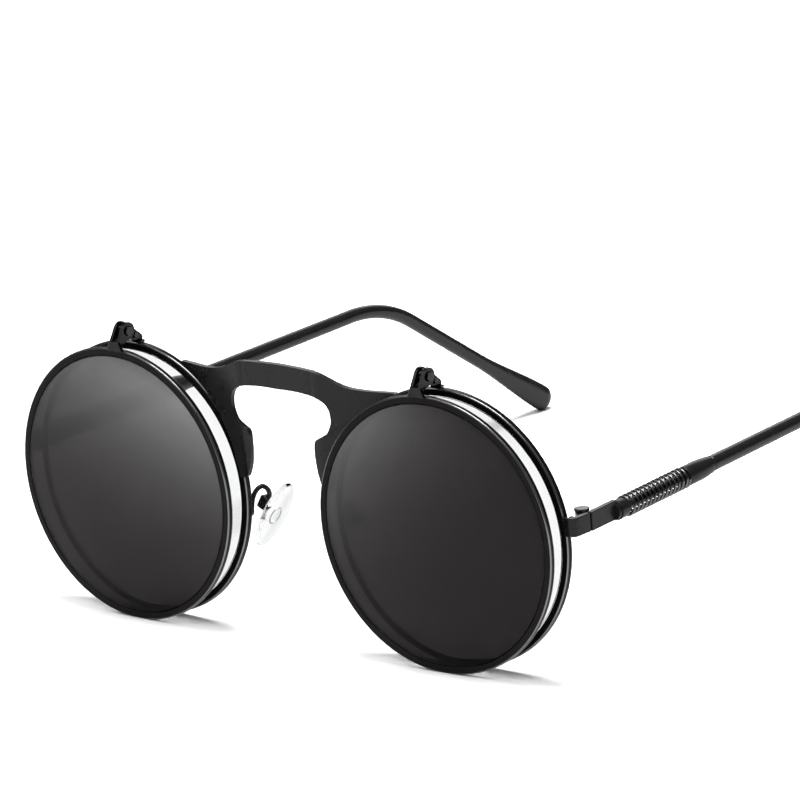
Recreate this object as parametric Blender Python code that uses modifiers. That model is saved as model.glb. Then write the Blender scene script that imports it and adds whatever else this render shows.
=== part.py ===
"""Round flip-up sunglasses in black satin metal.

Metres, +Z up. The front faces -Y and the temples run back along +Y. The wearer's left is +X.
The left half is modelled, each piece in the frame of the holder that carries it, and the
right half is its mirror image. The frame stands on both rear rims and both temple tips.
"""

from math import acos, asin, atan2, cos, hypot, pi, radians, sin, sqrt, tan

import bmesh
import bpy
from mathutils import Matrix, Vector

# Eyes: four rims of one size, two on the front-frame and two on the flip-up fronts
HALF_SPACING = 0.03715
WRAP = radians(2.2)
TILT = radians(1.3)
RIM_RADIUS = 0.0261
RIM_WIDTH = 0.0014
RIM_CHAMFER = 0.0003
REAR_RIM_DEPTH = 0.0014
FLIP_RIM_DEPTH = 0.0012
RIM_GAP = 0.0039
GROOVE_DEPTH = 0.0006
GROOVE_SHARE = 0.64
SLIT = 0.00025

# Lenses: parallel-sided, the bulge set by their curve
LENS_CURVE_RADIUS = 0.150
CLEAR_LENS_THICKNESS = 0.0014
DARK_LENS_THICKNESS = 0.0011
LENS_CLEARANCE = 0.00015

# Clearances: soldered or pressed seats, running fits, and the overrun of every cut
SEAT = 0.0001
RUNNING = 0.00006
OVERRUN = 0.001
WELD = 0.000001

# Bridge: a stamped keyhole plate, creased where its wings bend back to the rims
BRIDGE_THICKNESS = 0.0010
BRIDGE_FORWARD = 0.00235
BRIDGE_CREASE = 0.0087
BRIDGE_BEND = radians(10.5)
PLATE_BEVEL = 0.0001
BRIDGE_TOP_SHARES = (
    (0, 1.029), (0.108, 1.025), (0.180, 1.020), (0.250, 1.008), (0.300, 0.982),
    (0.347, 0.952), (0.395, 0.928), (0.439, 0.914), (0.500, 0.907), (0.552, 0.905),
    (0.640, 0.907), (0.727, 0.900),
)
BRIDGE_LEG_SHARES = (
    (1.18, 0.153), (0.88, 0.153), (0.79, 0.200), (0.71, 0.364), (0.71, 0.471), (0.755, 0.517),
)
BRIDGE_ARCH_SHARES = (
    (0.755, 0.517), (0.850, 0.528), (0.924, 0.548), (0.995, 0.578), (1.043, 0.617),
    (1.073, 0.652), (1.078, 0.690), (1.062, 0.735), (1.020, 0.772), (0.950, 0.800),
    (0.840, 0.824), (0.724, 0.836), (0.540, 0.845), (0.344, 0.850), (0, 0.849),
)

# Endpiece and rim lock: an L of strip, and two half blocks drawn together by a screw
PLATE_HEIGHT = 0.0035
PLATE_THICKNESS = 0.0011
TEMPLE_LIFT = 0.00365
ENDPIECE_REACH = 0.0021
ENDPIECE_LENGTH = 0.0048
LEG_THICKNESS = 0.0007
LEG_FORWARD = 0.0008
CORNER_RADIUS = 0.0013
INNER_CORNER_RADIUS = 0.0003
LEG_ROOT = 0.0015
LOCK_DEPTH = 0.0014
LOCK_DROP = 0.0016
LOCK_RISE = 0.0013
LOCK_SPLIT_DROP = 0.00015
LOCK_SPLIT = 0.0002
LOCK_SCREW_RADIUS = 0.0003
LOCK_HEAD_RADIUS = 0.00045
LOCK_HEAD_HEIGHT = 0.0003

# Temple hinge: three barrels on an upright pin with a knurled head
SEAM_GAP = 0.0003
SEAM_SET = 0.00095
BARREL_RADIUS = 0.00125
BARREL_GAP = 0.0001
HINGE_TOP = 0.0014
WEB_LENGTH = 0.0020
WEB_END_RADIUS = 0.0004
LEAF_THICKNESS = 0.0007
LEAF_START = 0.0015
FRONT_LEAF_LENGTH = 0.0010
TEMPLE_LEAF_LENGTH = 0.0025
HINGE_PIN_RADIUS = 0.0005
KNURL_RADIUS = 0.00147
KNURL_DEPTH = 0.0002
KNURL_HEIGHT = 0.0006
KNURL_TEETH = 18
KNURL_GAP = 0.00015

# Temple: plate, ferrules, wound spring on a rod, and a plastic tip with the ear bend
SPLAY = radians(2.1)
SLOPE = radians(2)
PLATE_LENGTH = 0.0070
PLATE_END_RADIUS = 0.0003
BAR_DROP = 0.00035
NECK_RADIUS = 0.0016
NECK_OVERLAP = 0.0008
NECK_LENGTH = 0.0013
TENON_LENGTH = 0.0004
FRONT_FERRULE_RADIUS = 0.0018
FERRULE_RADIUS = 0.0019
FERRULE_CHAMFER = 0.00025
FRONT_FERRULE_LENGTH = 0.0011
SPRING_LENGTH = 0.0183
REAR_FERRULE_LENGTH = 0.0083
REAR_FERRULE_STRAIGHT_SHARE = 0.5
REAR_FERRULE_CROWN_SHARE = 0.7
ROD_RADIUS = 0.0009
ROD_IN_TIP = 0.015
SPRING_RADIUS = 0.00204
SPRING_WIRE_RADIUS = 0.00027
SPRING_LEAD_SHARE = 0.9
SPRING_TURNS = 15
SPRING_TURN_POINTS = 8
TIP_RADIUS = 0.00133
TIP_FRONT_RADIUS = 0.00146
TIP_STRAIGHT = 0.0471
EAR_RADIUS = 0.029
EAR_ANGLE = radians(34)
PADDLE_LENGTH = 0.022
PADDLE_HALF_HEIGHT = 0.0025
PADDLE_HALF_WIDTH = 0.0015
PADDLE_ROUNDING = 0.0022

# Flip hinge: bracket with two lobes on the flip rim, base with one knuckle on the rear rim
FLIP_INSET = 0.0011
FLIP_AXIS_LIFT = 0.0031
FLIP_AXIS_BACK = 0.0023
FLIP_AXIS_RISE = 0.0023
LOBE_RADIUS = 0.00162
LOBE_WIDTH = 0.0006
KNUCKLE_WIDTH = 0.0009
KNUCKLE_RADIUS = 0.0013
KNUCKLE_GAP = 0.0001
FOOT_THICKNESS = 0.0006
FOOT_BASE_WIDTH = 0.0039
FOOT_LOW = 0.0010
FOOT_HIGH = 0.0009
LOBE_ROOT_RADIUS = 0.0004
BASE_END_RADIUS = 0.00075
BASE_FOOT_WIDTH = 0.0022
BASE_FOOT_HEIGHT = 0.00045
FLIP_PIN_RADIUS = 0.00045
FLIP_HEAD_RADIUS = 0.00095
FLIP_HEAD_HEIGHT = 0.0003
STOP_RADIUS = 0.00055
STOP_LENGTH = 0.0020
STOP_SHARE = 0.63

# Nose pads: wire arm, box, screw, moulded insert and clear pad
PAD_BACK = 0.0095
PAD_OUT = 0.01135
PAD_DROP = 0.0028
PAD_TILT = radians(26.3)
PAD_LEAN = radians(8)
PAD_OFFSET = 0.0020
PAD_SET_BACK = 0.0010
PAD_SET_DOWN = 0.0013
PAD_LENGTH = 0.0137
PAD_WIDTH = 0.0080
PAD_FRONT = 0.0011
PAD_REAR = 0.0006
INSERT_THICKNESS = 0.0004
INSERT_LENGTH = 0.0052
INSERT_WIDTH = 0.0030
LUG_WIDTH = 0.0009
LUG_RADIUS = 0.00065
LUG_ROOT_RADIUS = 0.0005
PAD_PIN_RADIUS = 0.0003
PAD_HEAD_RADIUS = 0.00055
PAD_HEAD_HEIGHT = 0.00025
BOX_WALL = 0.0006
BOX_BACK_WALL = 0.0003
BOX_FRONT = 0.00085
BOX_BELOW = 0.0010
BOX_ROOM = 0.0002
BOX_TOP_WALL = 0.00065
BOX_BEVEL = 0.0002
ARM_RADIUS = 0.00045
ARM_STANDOFF = 0.0005
ARM_RISE = 0.0042
ARM_SHARES = ((0.03, 0.28), (0.13, 0.62), (0.35, 0.76), (0.65, 0.66), (0.90, 0.32))
ARM_ROOT_SHARE = 0.155

# How finely round things are cut
RIM_STEPS = 48
LENS_RINGS = 2
ROUND_STEPS = 20
SMALL_STEPS = 12
ARC_STEPS = 4
TIP_SIDES = 12
WIRE_SIDES_RESOLUTION = 2
SPRING_SIDES_RESOLUTION = 1
SMOOTH_STEPS = 2

# Places that follow from the sizes above; the rear rims' centres are the eyes' centres
REAR_Y = FLIP_RIM_DEPTH + RIM_GAP
EYE_Z = RIM_RADIUS * cos(TILT) - (REAR_Y + RIM_CHAMFER) * sin(TILT)
INNER_GAP = HALF_SPACING - RIM_RADIUS
OUTER_X = HALF_SPACING + RIM_RADIUS + ENDPIECE_REACH
PLATE_INNER_X = OUTER_X - PLATE_THICKNESS
TEMPLE_Z = EYE_Z + TEMPLE_LIFT
LEG_Y = REAR_Y + RIM_RADIUS * sin(WRAP) - LEG_FORWARD
SEAM_Y = LEG_Y + ENDPIECE_LENGTH
AXIS_X = PLATE_INNER_X - KNURL_GAP - KNURL_RADIUS
AXIS_Y = SEAM_Y + SEAM_SET
HINGE_BOTTOM = PLATE_HEIGHT / 2
BAR_X = OUTER_X - PLATE_THICKNESS / 2 - AXIS_X
FERRULE_START = PLATE_LENGTH + NECK_LENGTH
SPRING_START = FERRULE_START + FRONT_FERRULE_LENGTH
SPRING_END = SPRING_START + SPRING_LENGTH
TIP_START = SPRING_END + REAR_FERRULE_LENGTH
BEND_START = TIP_START + TIP_STRAIGHT
FLIP_AXIS_Z = RIM_RADIUS + FLIP_AXIS_LIFT
PAD_CENTRE = Vector((-PAD_OFFSET, PAD_SET_BACK, -PAD_SET_DOWN))


def clear_scene():
    for obj in list(bpy.data.objects):
        bpy.data.objects.remove(obj, do_unlink=True)


def new_collection(name):
    collection = bpy.data.collections.new(name)
    bpy.context.scene.collection.children.link(collection)
    return collection


def finish(name, colour, roughness, metallic, alpha=1, transmission=0):
    material = bpy.data.materials.new(name)
    material.use_nodes = True
    shader = material.node_tree.nodes["Principled BSDF"]
    shader.inputs["Base Color"].default_value = (*colour, 1)
    shader.inputs["Roughness"].default_value = roughness
    shader.inputs["Metallic"].default_value = metallic
    shader.inputs["Alpha"].default_value = alpha
    shader.inputs["Transmission Weight"].default_value = transmission
    material.diffuse_color = (*colour, alpha)
    return material


def holder(name, place, turn, parent):
    """An empty that carries pieces: the piece's own frame, at its joint's axis if it moves."""
    empty = bpy.data.objects.new(name, None)
    empty.empty_display_size = RIM_RADIUS / 4
    PARTS.objects.link(empty)
    empty.parent = parent
    empty.matrix_local = Matrix.Translation(place) @ turn
    bpy.context.view_layer.update()
    return empty


def piece(name, bm, material, carrier):
    """A named object from a bmesh that is built in its carrier's frame."""
    mesh = bpy.data.meshes.new(name)
    bm.to_mesh(mesh)
    bm.free()
    return placed(name, mesh, material, carrier)


def placed(name, mesh, material, carrier):
    obj = bpy.data.objects.new(name, mesh)
    PARTS.objects.link(obj)
    obj.parent = carrier
    mesh.materials.clear()
    mesh.materials.append(material)
    if isinstance(mesh, bpy.types.Mesh):
        mesh.shade_smooth()
        mesh.set_sharp_from_angle(angle=radians(35))
    return obj


def guide(name, bm, carrier):
    """A cutter, or a shape to be joined: kept out of renders and out of the parts."""
    mesh = bpy.data.meshes.new(name)
    bm.to_mesh(mesh)
    bm.free()
    obj = bpy.data.objects.new(name, mesh)
    CUTTERS.objects.link(obj)
    obj.parent = carrier
    obj.hide_render = True
    obj.display_type = "WIRE"
    return obj


def combine(obj, other, operation):
    modifier = obj.modifiers.new(f"{operation.lower()} {other.name}", "BOOLEAN")
    modifier.operation = operation
    modifier.solver = "EXACT"
    modifier.object = other


def cut(obj, *others):
    for other in others:
        combine(obj, other, "DIFFERENCE")


def join(obj, *others):
    for other in others:
        combine(obj, other, "UNION")


def bevelled(obj, width, segments=1):
    modifier = obj.modifiers.new("edges", "BEVEL")
    modifier.width = width
    modifier.segments = segments
    modifier.limit_method = "ANGLE"
    modifier.angle_limit = radians(40)


def prism(outline, low, high, axis):
    """An outline in the plane across an axis, pushed along that axis from low to high."""
    place = {
        "X": lambda a, b, h: (h, a, b),
        "Y": lambda a, b, h: (a, h, b),
        "Z": lambda a, b, h: (a, b, h),
    }[axis]
    bm = bmesh.new()
    face = bm.faces.new([bm.verts.new(place(a, b, low)) for a, b in outline])
    pushed = bmesh.ops.extrude_face_region(bm, geom=[face])["geom"]
    top = [v for v in pushed if isinstance(v, bmesh.types.BMVert)]
    bmesh.ops.translate(bm, verts=top, vec=Vector(place(0, 0, high)) - Vector(place(0, 0, low)))
    bmesh.ops.recalc_face_normals(bm, faces=bm.faces)
    return bm


def block(low, high):
    bm = bmesh.new()
    bmesh.ops.create_cube(bm, size=1)
    middle = (Vector(low) + Vector(high)) / 2
    size = Vector(high) - Vector(low)
    bmesh.ops.transform(bm, matrix=Matrix.LocRotScale(middle, None, size), verts=bm.verts)
    return bm


def turned(profile, steps, closed=False):
    """A profile of (radius, place along Y), turned once round the Y axis."""
    bm = bmesh.new()
    points = [bm.verts.new((radius, along, 0)) for radius, along in profile]
    edges = [bm.edges.new(pair) for pair in zip(points, points[1:])]
    if closed:
        edges.append(bm.edges.new((points[-1], points[0])))
    bmesh.ops.spin(
        bm, geom=points + edges, cent=(0, 0, 0), axis=(0, 1, 0), angle=2 * pi, steps=steps, use_merge=True
    )
    bmesh.ops.remove_doubles(bm, verts=bm.verts, dist=WELD)
    bmesh.ops.recalc_face_normals(bm, faces=bm.faces)
    return bm


def rod(radius, start, end, steps=SMALL_STEPS):
    return turned([(0, start), (radius, start), (radius, end), (0, end)], steps)


def across(bm, turn, place=(0, 0, 0)):
    """The same shape with its Y axis turned, then moved."""
    bmesh.ops.transform(bm, matrix=Matrix.Translation(place) @ turn, verts=bm.verts)
    return bm


UPRIGHT = Matrix.Rotation(pi / 2, 4, "X")
SIDEWAYS = Matrix.Rotation(-pi / 2, 4, "Z")


def arc(centre, radius, start, end, steps):
    return [
        (centre[0] + radius * cos(start + (end - start) * i / steps),
         centre[1] + radius * sin(start + (end - start) * i / steps))
        for i in range(steps + 1)
    ]


def strap(first, first_radius, second, second_radius, steps=ARC_STEPS):
    """The outline drawn tight round two circles."""
    heading = atan2(second[1] - first[1], second[0] - first[0])
    distance = hypot(second[0] - first[0], second[1] - first[1])
    reach = acos((first_radius - second_radius) / distance)
    near = arc(first, first_radius, heading + reach, heading + 2 * pi - reach, 2 * steps)
    return near + arc(second, second_radius, heading - reach, heading + reach, steps)


def rounded(corners, steps=ARC_STEPS):
    """An outline of (point, radius) corners, each corner turned into an arc of its radius."""
    points = []
    for i, (corner, radius) in enumerate(corners):
        here = Vector(corner)
        if radius == 0:
            points.append(tuple(here))
            continue
        before = (Vector(corners[i - 1][0]) - here).normalized()
        after = (Vector(corners[(i + 1) % len(corners)][0]) - here).normalized()
        half = before.angle(after) / 2
        centre = here + (before + after).normalized() * (radius / sin(half))
        start = here + before * (radius / tan(half)) - centre
        end = here + after * (radius / tan(half)) - centre
        sweep = start.angle_signed(end)
        first = atan2(start.y, start.x)
        points += arc(tuple(centre), radius, first, first - sweep, steps)
    return points


def smooth(points, steps=SMOOTH_STEPS):
    """Points read from one smooth curve through the given ones."""
    ends = [points[0] * 2 - points[1], *points, points[-1] * 2 - points[-2]]
    found = []
    for a, b, c, d in zip(ends, ends[1:], ends[2:], ends[3:]):
        for i in range(steps):
            t = i / steps
            found.append(
                (b * 2 + (c - a) * t + (a * 2 - b * 5 + c * 4 - d) * t**2 + (b * 3 - a - c * 3 + d) * t**3) / 2
            )
    return [*found, points[-1]]


def tube(name, points, radius, resolution, material, carrier):
    """A round wire along points, with its ends filled."""
    curve = bpy.data.curves.new(name, "CURVE")
    curve.dimensions = "3D"
    curve.bevel_depth = radius
    curve.bevel_resolution = resolution
    curve.use_fill_caps = True
    spline = curve.splines.new("POLY")
    spline.points.add(len(points) - 1)
    for point, place in zip(spline.points, points):
        point.co = (*place, 1)
    return placed(name, curve, material, carrier)


def lofted(rings):
    """A closed skin over rings of the same number of points, flat at both ends."""
    bm = bmesh.new()
    rows = [[bm.verts.new(point) for point in ring] for ring in rings]
    for first, second in zip(rows, rows[1:]):
        for i in range(len(first)):
            j = (i + 1) % len(first)
            bm.faces.new((first[i], first[j], second[j], second[i]))
    bm.faces.new(rows[0])
    bm.faces.new(rows[-1])
    bmesh.ops.recalc_face_normals(bm, faces=bm.faces)
    return bm


def rim_profile(front, depth):
    """A rim's section: chamfered outside, with the lens groove in the middle of its inside."""
    inner = RIM_RADIUS - RIM_WIDTH
    back = front + depth
    middle = (front + back) / 2
    groove = depth * GROOVE_SHARE / 2
    return [
        (inner, front), (RIM_RADIUS - RIM_CHAMFER, front), (RIM_RADIUS, front + RIM_CHAMFER),
        (RIM_RADIUS, back - RIM_CHAMFER), (RIM_RADIUS - RIM_CHAMFER, back), (inner, back),
        (inner, middle + groove), (inner + GROOVE_DEPTH, middle), (inner, middle - groove),
    ]


def sag(radius):
    return LENS_CURVE_RADIUS - sqrt(LENS_CURVE_RADIUS**2 - radius**2)


def lens_profile(front, depth, thickness):
    """A domed lens: its bevelled edge stands in the rim's groove, clear of it all round."""
    edge = RIM_RADIUS - RIM_WIDTH - LENS_CLEARANCE
    middle = front + depth / 2
    bevel = depth * GROOVE_SHARE / 2
    dome = [edge * i / LENS_RINGS for i in range(LENS_RINGS + 1)]
    face = [(r, middle - thickness / 2 - sag(edge) + sag(r)) for r in dome]
    back = [(r, middle + thickness / 2 - sag(edge) + sag(r)) for r in reversed(dome)]
    return [*face, (edge, middle - bevel), (edge + GROOVE_DEPTH, middle), (edge, middle + bevel), *back]


def make_eye(eye, side):
    """A rear rim, split at its outer side for the lens, and its clear lens."""
    rim = piece(f"{side}_rim", turned(rim_profile(REAR_Y, REAR_RIM_DEPTH), RIM_STEPS, True), BLACK_METAL, eye)
    split = TEMPLE_LIFT - LOCK_SPLIT_DROP - (REAR_Y + REAR_RIM_DEPTH / 2) * sin(TILT)
    slit = guide(
        f"{side}_rim_slit",
        block(
            (RIM_RADIUS / 2, REAR_Y - OVERRUN, split - SLIT / 2),
            (RIM_RADIUS + OVERRUN, REAR_Y + REAR_RIM_DEPTH + OVERRUN, split + SLIT / 2),
        ),
        eye,
    )
    cut(rim, slit)
    profile = lens_profile(REAR_Y, REAR_RIM_DEPTH, CLEAR_LENS_THICKNESS)
    piece(f"{side}_clear_lens", turned(profile, RIM_STEPS), CLEAR_GLASS, eye)


def rim_seat(name, eye):
    """The space a rear rim takes, with the seat's clearance, as a cutter for what is soldered to it."""
    radius = RIM_RADIUS + SEAT
    long = RIM_RADIUS
    return guide(name, rod(radius, -long, long, 2 * RIM_STEPS), eye)


def bridge_edge(shares, width):
    return [Vector((x * width, z * RIM_RADIUS)) for x, z in shares]


def make_bridge(middle, seats):
    """The keyhole plate: one outline, creased twice, with its ends cut round to the rims."""
    half = bridge_edge(BRIDGE_TOP_SHARES, HALF_SPACING)
    half += bridge_edge(BRIDGE_LEG_SHARES, INNER_GAP)
    half += bridge_edge(BRIDGE_ARCH_SHARES, INNER_GAP)[1:]
    outline = [tuple(p) for p in half] + [(-p.x, p.y) for p in reversed(half) if p.x > 0]
    plate_front = REAR_Y - BRIDGE_FORWARD
    bm = prism(outline, plate_front, plate_front + BRIDGE_THICKNESS, "Y")
    for side in (1, -1):
        bmesh.ops.bisect_plane(
            bm, geom=bm.verts[:] + bm.edges[:] + bm.faces[:], dist=WELD,
            plane_co=(side * BRIDGE_CREASE, 0, 0), plane_no=(1, 0, 0),
        )
    for vertex in bm.verts:
        beyond = max(0, abs(vertex.co.x) - BRIDGE_CREASE)
        vertex.co.y += beyond * tan(BRIDGE_BEND)
    bridge = piece("bridge", bm, BLACK_METAL, middle)
    bevelled(bridge, PLATE_BEVEL)
    cut(bridge, *seats)


def make_endpiece(front, seat, side):
    """The strip that leaves the rim sideways and turns back to the hinge."""
    root = HALF_SPACING + RIM_RADIUS - LEG_ROOT
    outline = rounded([
        ((root, LEG_Y), 0), ((OUTER_X, LEG_Y), CORNER_RADIUS), ((OUTER_X, SEAM_Y), 0),
        ((PLATE_INNER_X, SEAM_Y), 0), ((PLATE_INNER_X, LEG_Y + LEG_THICKNESS), INNER_CORNER_RADIUS),
        ((root, LEG_Y + LEG_THICKNESS), 0),
    ])
    low, high = TEMPLE_Z - PLATE_HEIGHT / 2, TEMPLE_Z + PLATE_HEIGHT / 2
    endpiece = piece(f"{side}_endpiece", prism(outline, low, high, "Z"), BLACK_METAL, front)
    bevelled(endpiece, PLATE_BEVEL)
    cut(endpiece, seat)


def make_lock(front, seat, side):
    """Two half blocks behind the endpiece, soldered to the rim on each side of its slit."""
    near, far = LEG_Y + LEG_THICKNESS + SEAT, LEG_Y + LEG_THICKNESS + SEAT + LOCK_DEPTH
    inner, outer = HALF_SPACING + RIM_RADIUS - LEG_ROOT, PLATE_INNER_X - SEAT
    split = TEMPLE_Z - LOCK_SPLIT_DROP
    screw_x = (HALF_SPACING + RIM_RADIUS + outer) / 2
    screw_y = (near + far) / 2
    hole = across(
        rod(LOCK_SCREW_RADIUS + RUNNING, -RIM_RADIUS / 2, RIM_RADIUS / 2), UPRIGHT, (screw_x, screw_y, TEMPLE_Z)
    )
    bore = guide(f"{side}_lock_bore", hole, front)
    halves = {
        "lower": (TEMPLE_Z - LOCK_DROP, split - LOCK_SPLIT / 2),
        "upper": (split + LOCK_SPLIT / 2, TEMPLE_Z + LOCK_RISE),
    }
    for name, (low, high) in halves.items():
        half = piece(f"{side}_lock_{name}", block((inner, near, low), (outer, far, high)), BLACK_METAL, front)
        cut(half, seat, bore)
    top = LOCK_RISE + SEAT
    profile = [
        (0, -LOCK_DROP), (LOCK_SCREW_RADIUS, -LOCK_DROP), (LOCK_SCREW_RADIUS, top),
        (LOCK_HEAD_RADIUS, top), (LOCK_HEAD_RADIUS, top + LOCK_HEAD_HEIGHT), (0, top + LOCK_HEAD_HEIGHT),
    ]
    screw = across(turned(profile, SMALL_STEPS), UPRIGHT, (screw_x, screw_y, TEMPLE_Z))
    piece(f"{side}_lock_screw", screw, STEEL, front)


def knuckle_heights():
    """The three barrels of the hinge, lowest first, measured from the plate's middle."""
    height = (HINGE_TOP + HINGE_BOTTOM - 2 * BARREL_GAP) / 3
    lows = [-HINGE_BOTTOM + i * (height + BARREL_GAP) for i in range(3)]
    return [(low, low + height) for low in lows]


def web(toward):
    """A barrel drawn out to the leaf behind the plate: toward is -1 to the front, 1 to the temple."""
    end_x = PLATE_INNER_X - AXIS_X - SEAT - WEB_END_RADIUS
    return strap((0, 0), BARREL_RADIUS, (end_x, toward * WEB_LENGTH), WEB_END_RADIUS)


def make_hinge(hinge, side):
    """The front half of the hinge, with its upper and lower barrels, and the knurled pin."""
    lower, _, upper = knuckle_heights()
    outer = PLATE_INNER_X - AXIS_X - SEAT
    leaf = block(
        (outer - LEAF_THICKNESS, -LEAF_START - FRONT_LEAF_LENGTH, -HINGE_BOTTOM), (outer, -LEAF_START, HINGE_TOP)
    )
    hinge_block = piece(f"{side}_hinge_block", leaf, BLACK_METAL, hinge)
    for name, (low, high) in (("lower", lower), ("upper", upper)):
        join(hinge_block, guide(f"{side}_{name}_barrel", prism(web(-1), low, high, "Z"), hinge))
    long = PLATE_HEIGHT
    bore = guide(
        f"{side}_hinge_bore", across(rod(HINGE_PIN_RADIUS + RUNNING, -long, long), UPRIGHT), hinge
    )
    cut(hinge_block, bore)
    teeth = []
    for i in range(2 * KNURL_TEETH):
        radius = KNURL_RADIUS - KNURL_DEPTH * (i % 2)
        teeth.append((radius * cos(pi * i / KNURL_TEETH), radius * sin(pi * i / KNURL_TEETH)))
    low = HINGE_TOP + SEAT
    screw = piece(f"{side}_hinge_screw", prism(teeth, low, low + KNURL_HEIGHT, "Z"), STEEL, hinge)
    shank = across(rod(HINGE_PIN_RADIUS, -HINGE_BOTTOM, low + KNURL_HEIGHT / 2), UPRIGHT)
    # turning the Y axis up puts the rod's start at the bottom
    join(screw, guide(f"{side}_hinge_shank", shank, hinge))
    return bore


def bar_frame(along):
    """A place on the sloping bar that carries ferrules, spring and tip."""
    start = Matrix.Translation((BAR_X, 0, -BAR_DROP))
    return start @ Matrix.Rotation(SLOPE, 4, "X") @ Matrix.Translation((0, along, 0))


def make_temple_plate(temple, bar, bore, side):
    """The flat strip with the middle barrel inside its front end and a round tenon behind."""
    start = SEAM_GAP - SEAM_SET
    rise = tan(SLOPE)
    half = PLATE_HEIGHT / 2
    outline = rounded([
        ((start, start * rise - half), 0), ((PLATE_LENGTH, PLATE_LENGTH * rise - half), PLATE_END_RADIUS),
        ((PLATE_LENGTH, PLATE_LENGTH * rise + half), PLATE_END_RADIUS), ((start, start * rise + half), 0),
    ])
    inner, outer = PLATE_INNER_X - AXIS_X, OUTER_X - AXIS_X
    plate = piece(f"{side}_temple_plate", prism(outline, inner, outer, "X"), BLACK_METAL, temple)
    bevelled(plate, PLATE_BEVEL)
    leaf = block(
        (inner - SEAT - LEAF_THICKNESS, LEAF_START, -HINGE_BOTTOM + BARREL_GAP),
        ((inner + outer) / 2, LEAF_START + TEMPLE_LEAF_LENGTH, HINGE_TOP),
    )
    low, high = knuckle_heights()[1]
    neck_start = PLATE_LENGTH - NECK_OVERLAP
    neck_end = FERRULE_START - SEAT
    profile = [
        (0, neck_start), (NECK_RADIUS, neck_start), (NECK_RADIUS, neck_end), (ROD_RADIUS, neck_end),
        (ROD_RADIUS, neck_end + TENON_LENGTH), (0, neck_end + TENON_LENGTH),
    ]
    join(
        plate,
        guide(f"{side}_temple_leaf", leaf, temple),
        guide(f"{side}_middle_barrel", prism(web(1), low, high, "Z"), temple),
        guide(f"{side}_temple_neck", turned(profile, ROUND_STEPS), bar),
    )
    cut(plate, bore)


def make_ferrules(bar, side):
    """The tube in front of the spring, the tapered one behind it, and the rod through both."""
    inside = ROD_RADIUS + RUNNING
    chamfer = FERRULE_CHAMFER
    front, back = FERRULE_START, SPRING_START
    tube_profile = [
        (inside, front), (FRONT_FERRULE_RADIUS - chamfer, front), (FRONT_FERRULE_RADIUS, front + chamfer),
        (FRONT_FERRULE_RADIUS, back - chamfer), (FRONT_FERRULE_RADIUS - chamfer, back), (inside, back),
    ]
    piece(f"{side}_front_ferrule", turned(tube_profile, ROUND_STEPS, True), BLACK_METAL, bar)
    front, back = SPRING_END, TIP_START - SEAT
    shoulder = front + REAR_FERRULE_LENGTH * REAR_FERRULE_STRAIGHT_SHARE
    end_radius = TIP_FRONT_RADIUS + chamfer / 2
    crown = end_radius + (FERRULE_RADIUS - end_radius) * REAR_FERRULE_CROWN_SHARE
    taper_profile = [
        (inside, front), (FERRULE_RADIUS - chamfer, front), (FERRULE_RADIUS, front + chamfer),
        (FERRULE_RADIUS, shoulder), (crown, (shoulder + back - chamfer) / 2), (end_radius, back - chamfer),
        (TIP_FRONT_RADIUS, back), (inside, back),
    ]
    piece(f"{side}_rear_ferrule", turned(taper_profile, ROUND_STEPS, True), BLACK_METAL, bar)
    rod_start = FERRULE_START + TENON_LENGTH + SEAT
    piece(f"{side}_core_rod", rod(ROD_RADIUS, rod_start, TIP_START + ROD_IN_TIP, ROUND_STEPS), STEEL, bar)


def spring_path():
    """Straight out of a ferrule, round into the coil, and straight into the other ferrule."""
    radius = SPRING_RADIUS - SPRING_WIRE_RADIUS
    wire = 2 * SPRING_WIRE_RADIUS
    start, end = SPRING_START + SEAT, SPRING_END - SEAT
    lead = wire * SPRING_LEAD_SHARE
    coil_start, coil_end = start + wire + lead, end - wire - lead
    rise = (coil_end - coil_start) / SPRING_TURNS
    entry_angle = lead / radius
    angles = [2 * pi * i / SPRING_TURN_POINTS for i in range(SPRING_TURNS * SPRING_TURN_POINTS + 1)]
    places = [(angle, coil_start + rise * angle / (2 * pi)) for angle in angles]
    turn_in = [(0.0, 0.0), (0.12, 0.5), (0.42, 0.83)]
    before = [(-entry_angle * (1 - a), coil_start - lead * (1 - s)) for a, s in turn_in]
    after = [(angles[-1] + entry_angle * (1 - a), coil_end + lead * (1 - s)) for a, s in reversed(turn_in)]
    places = [(-entry_angle, start), *before, *places, *after, (angles[-1] + entry_angle, end)]
    return [Vector((radius * cos(a), along, radius * sin(a))) for a, along in places]


def make_spring(bar, side):
    """One unbroken wound wire; its least gap to itself is measured on its points."""
    points = spring_path()
    apart = SPRING_TURN_POINTS // 2
    least = min(
        (a - b).length for i, a in enumerate(points) for b in points[i + apart:]
    ) - 2 * SPRING_WIRE_RADIUS
    print(f"{side} temple spring, least gap to itself: {least * 1000:.3f} mm")
    tube(f"{side}_temple_spring", points, SPRING_WIRE_RADIUS, SPRING_SIDES_RESOLUTION, STEEL, bar)


def paddle_share(along):
    """How far the paddle has opened, from 0 to 1, in one smooth swell."""
    t = min(1, max(0, along))
    return t * t * (3 - 2 * t)


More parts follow.
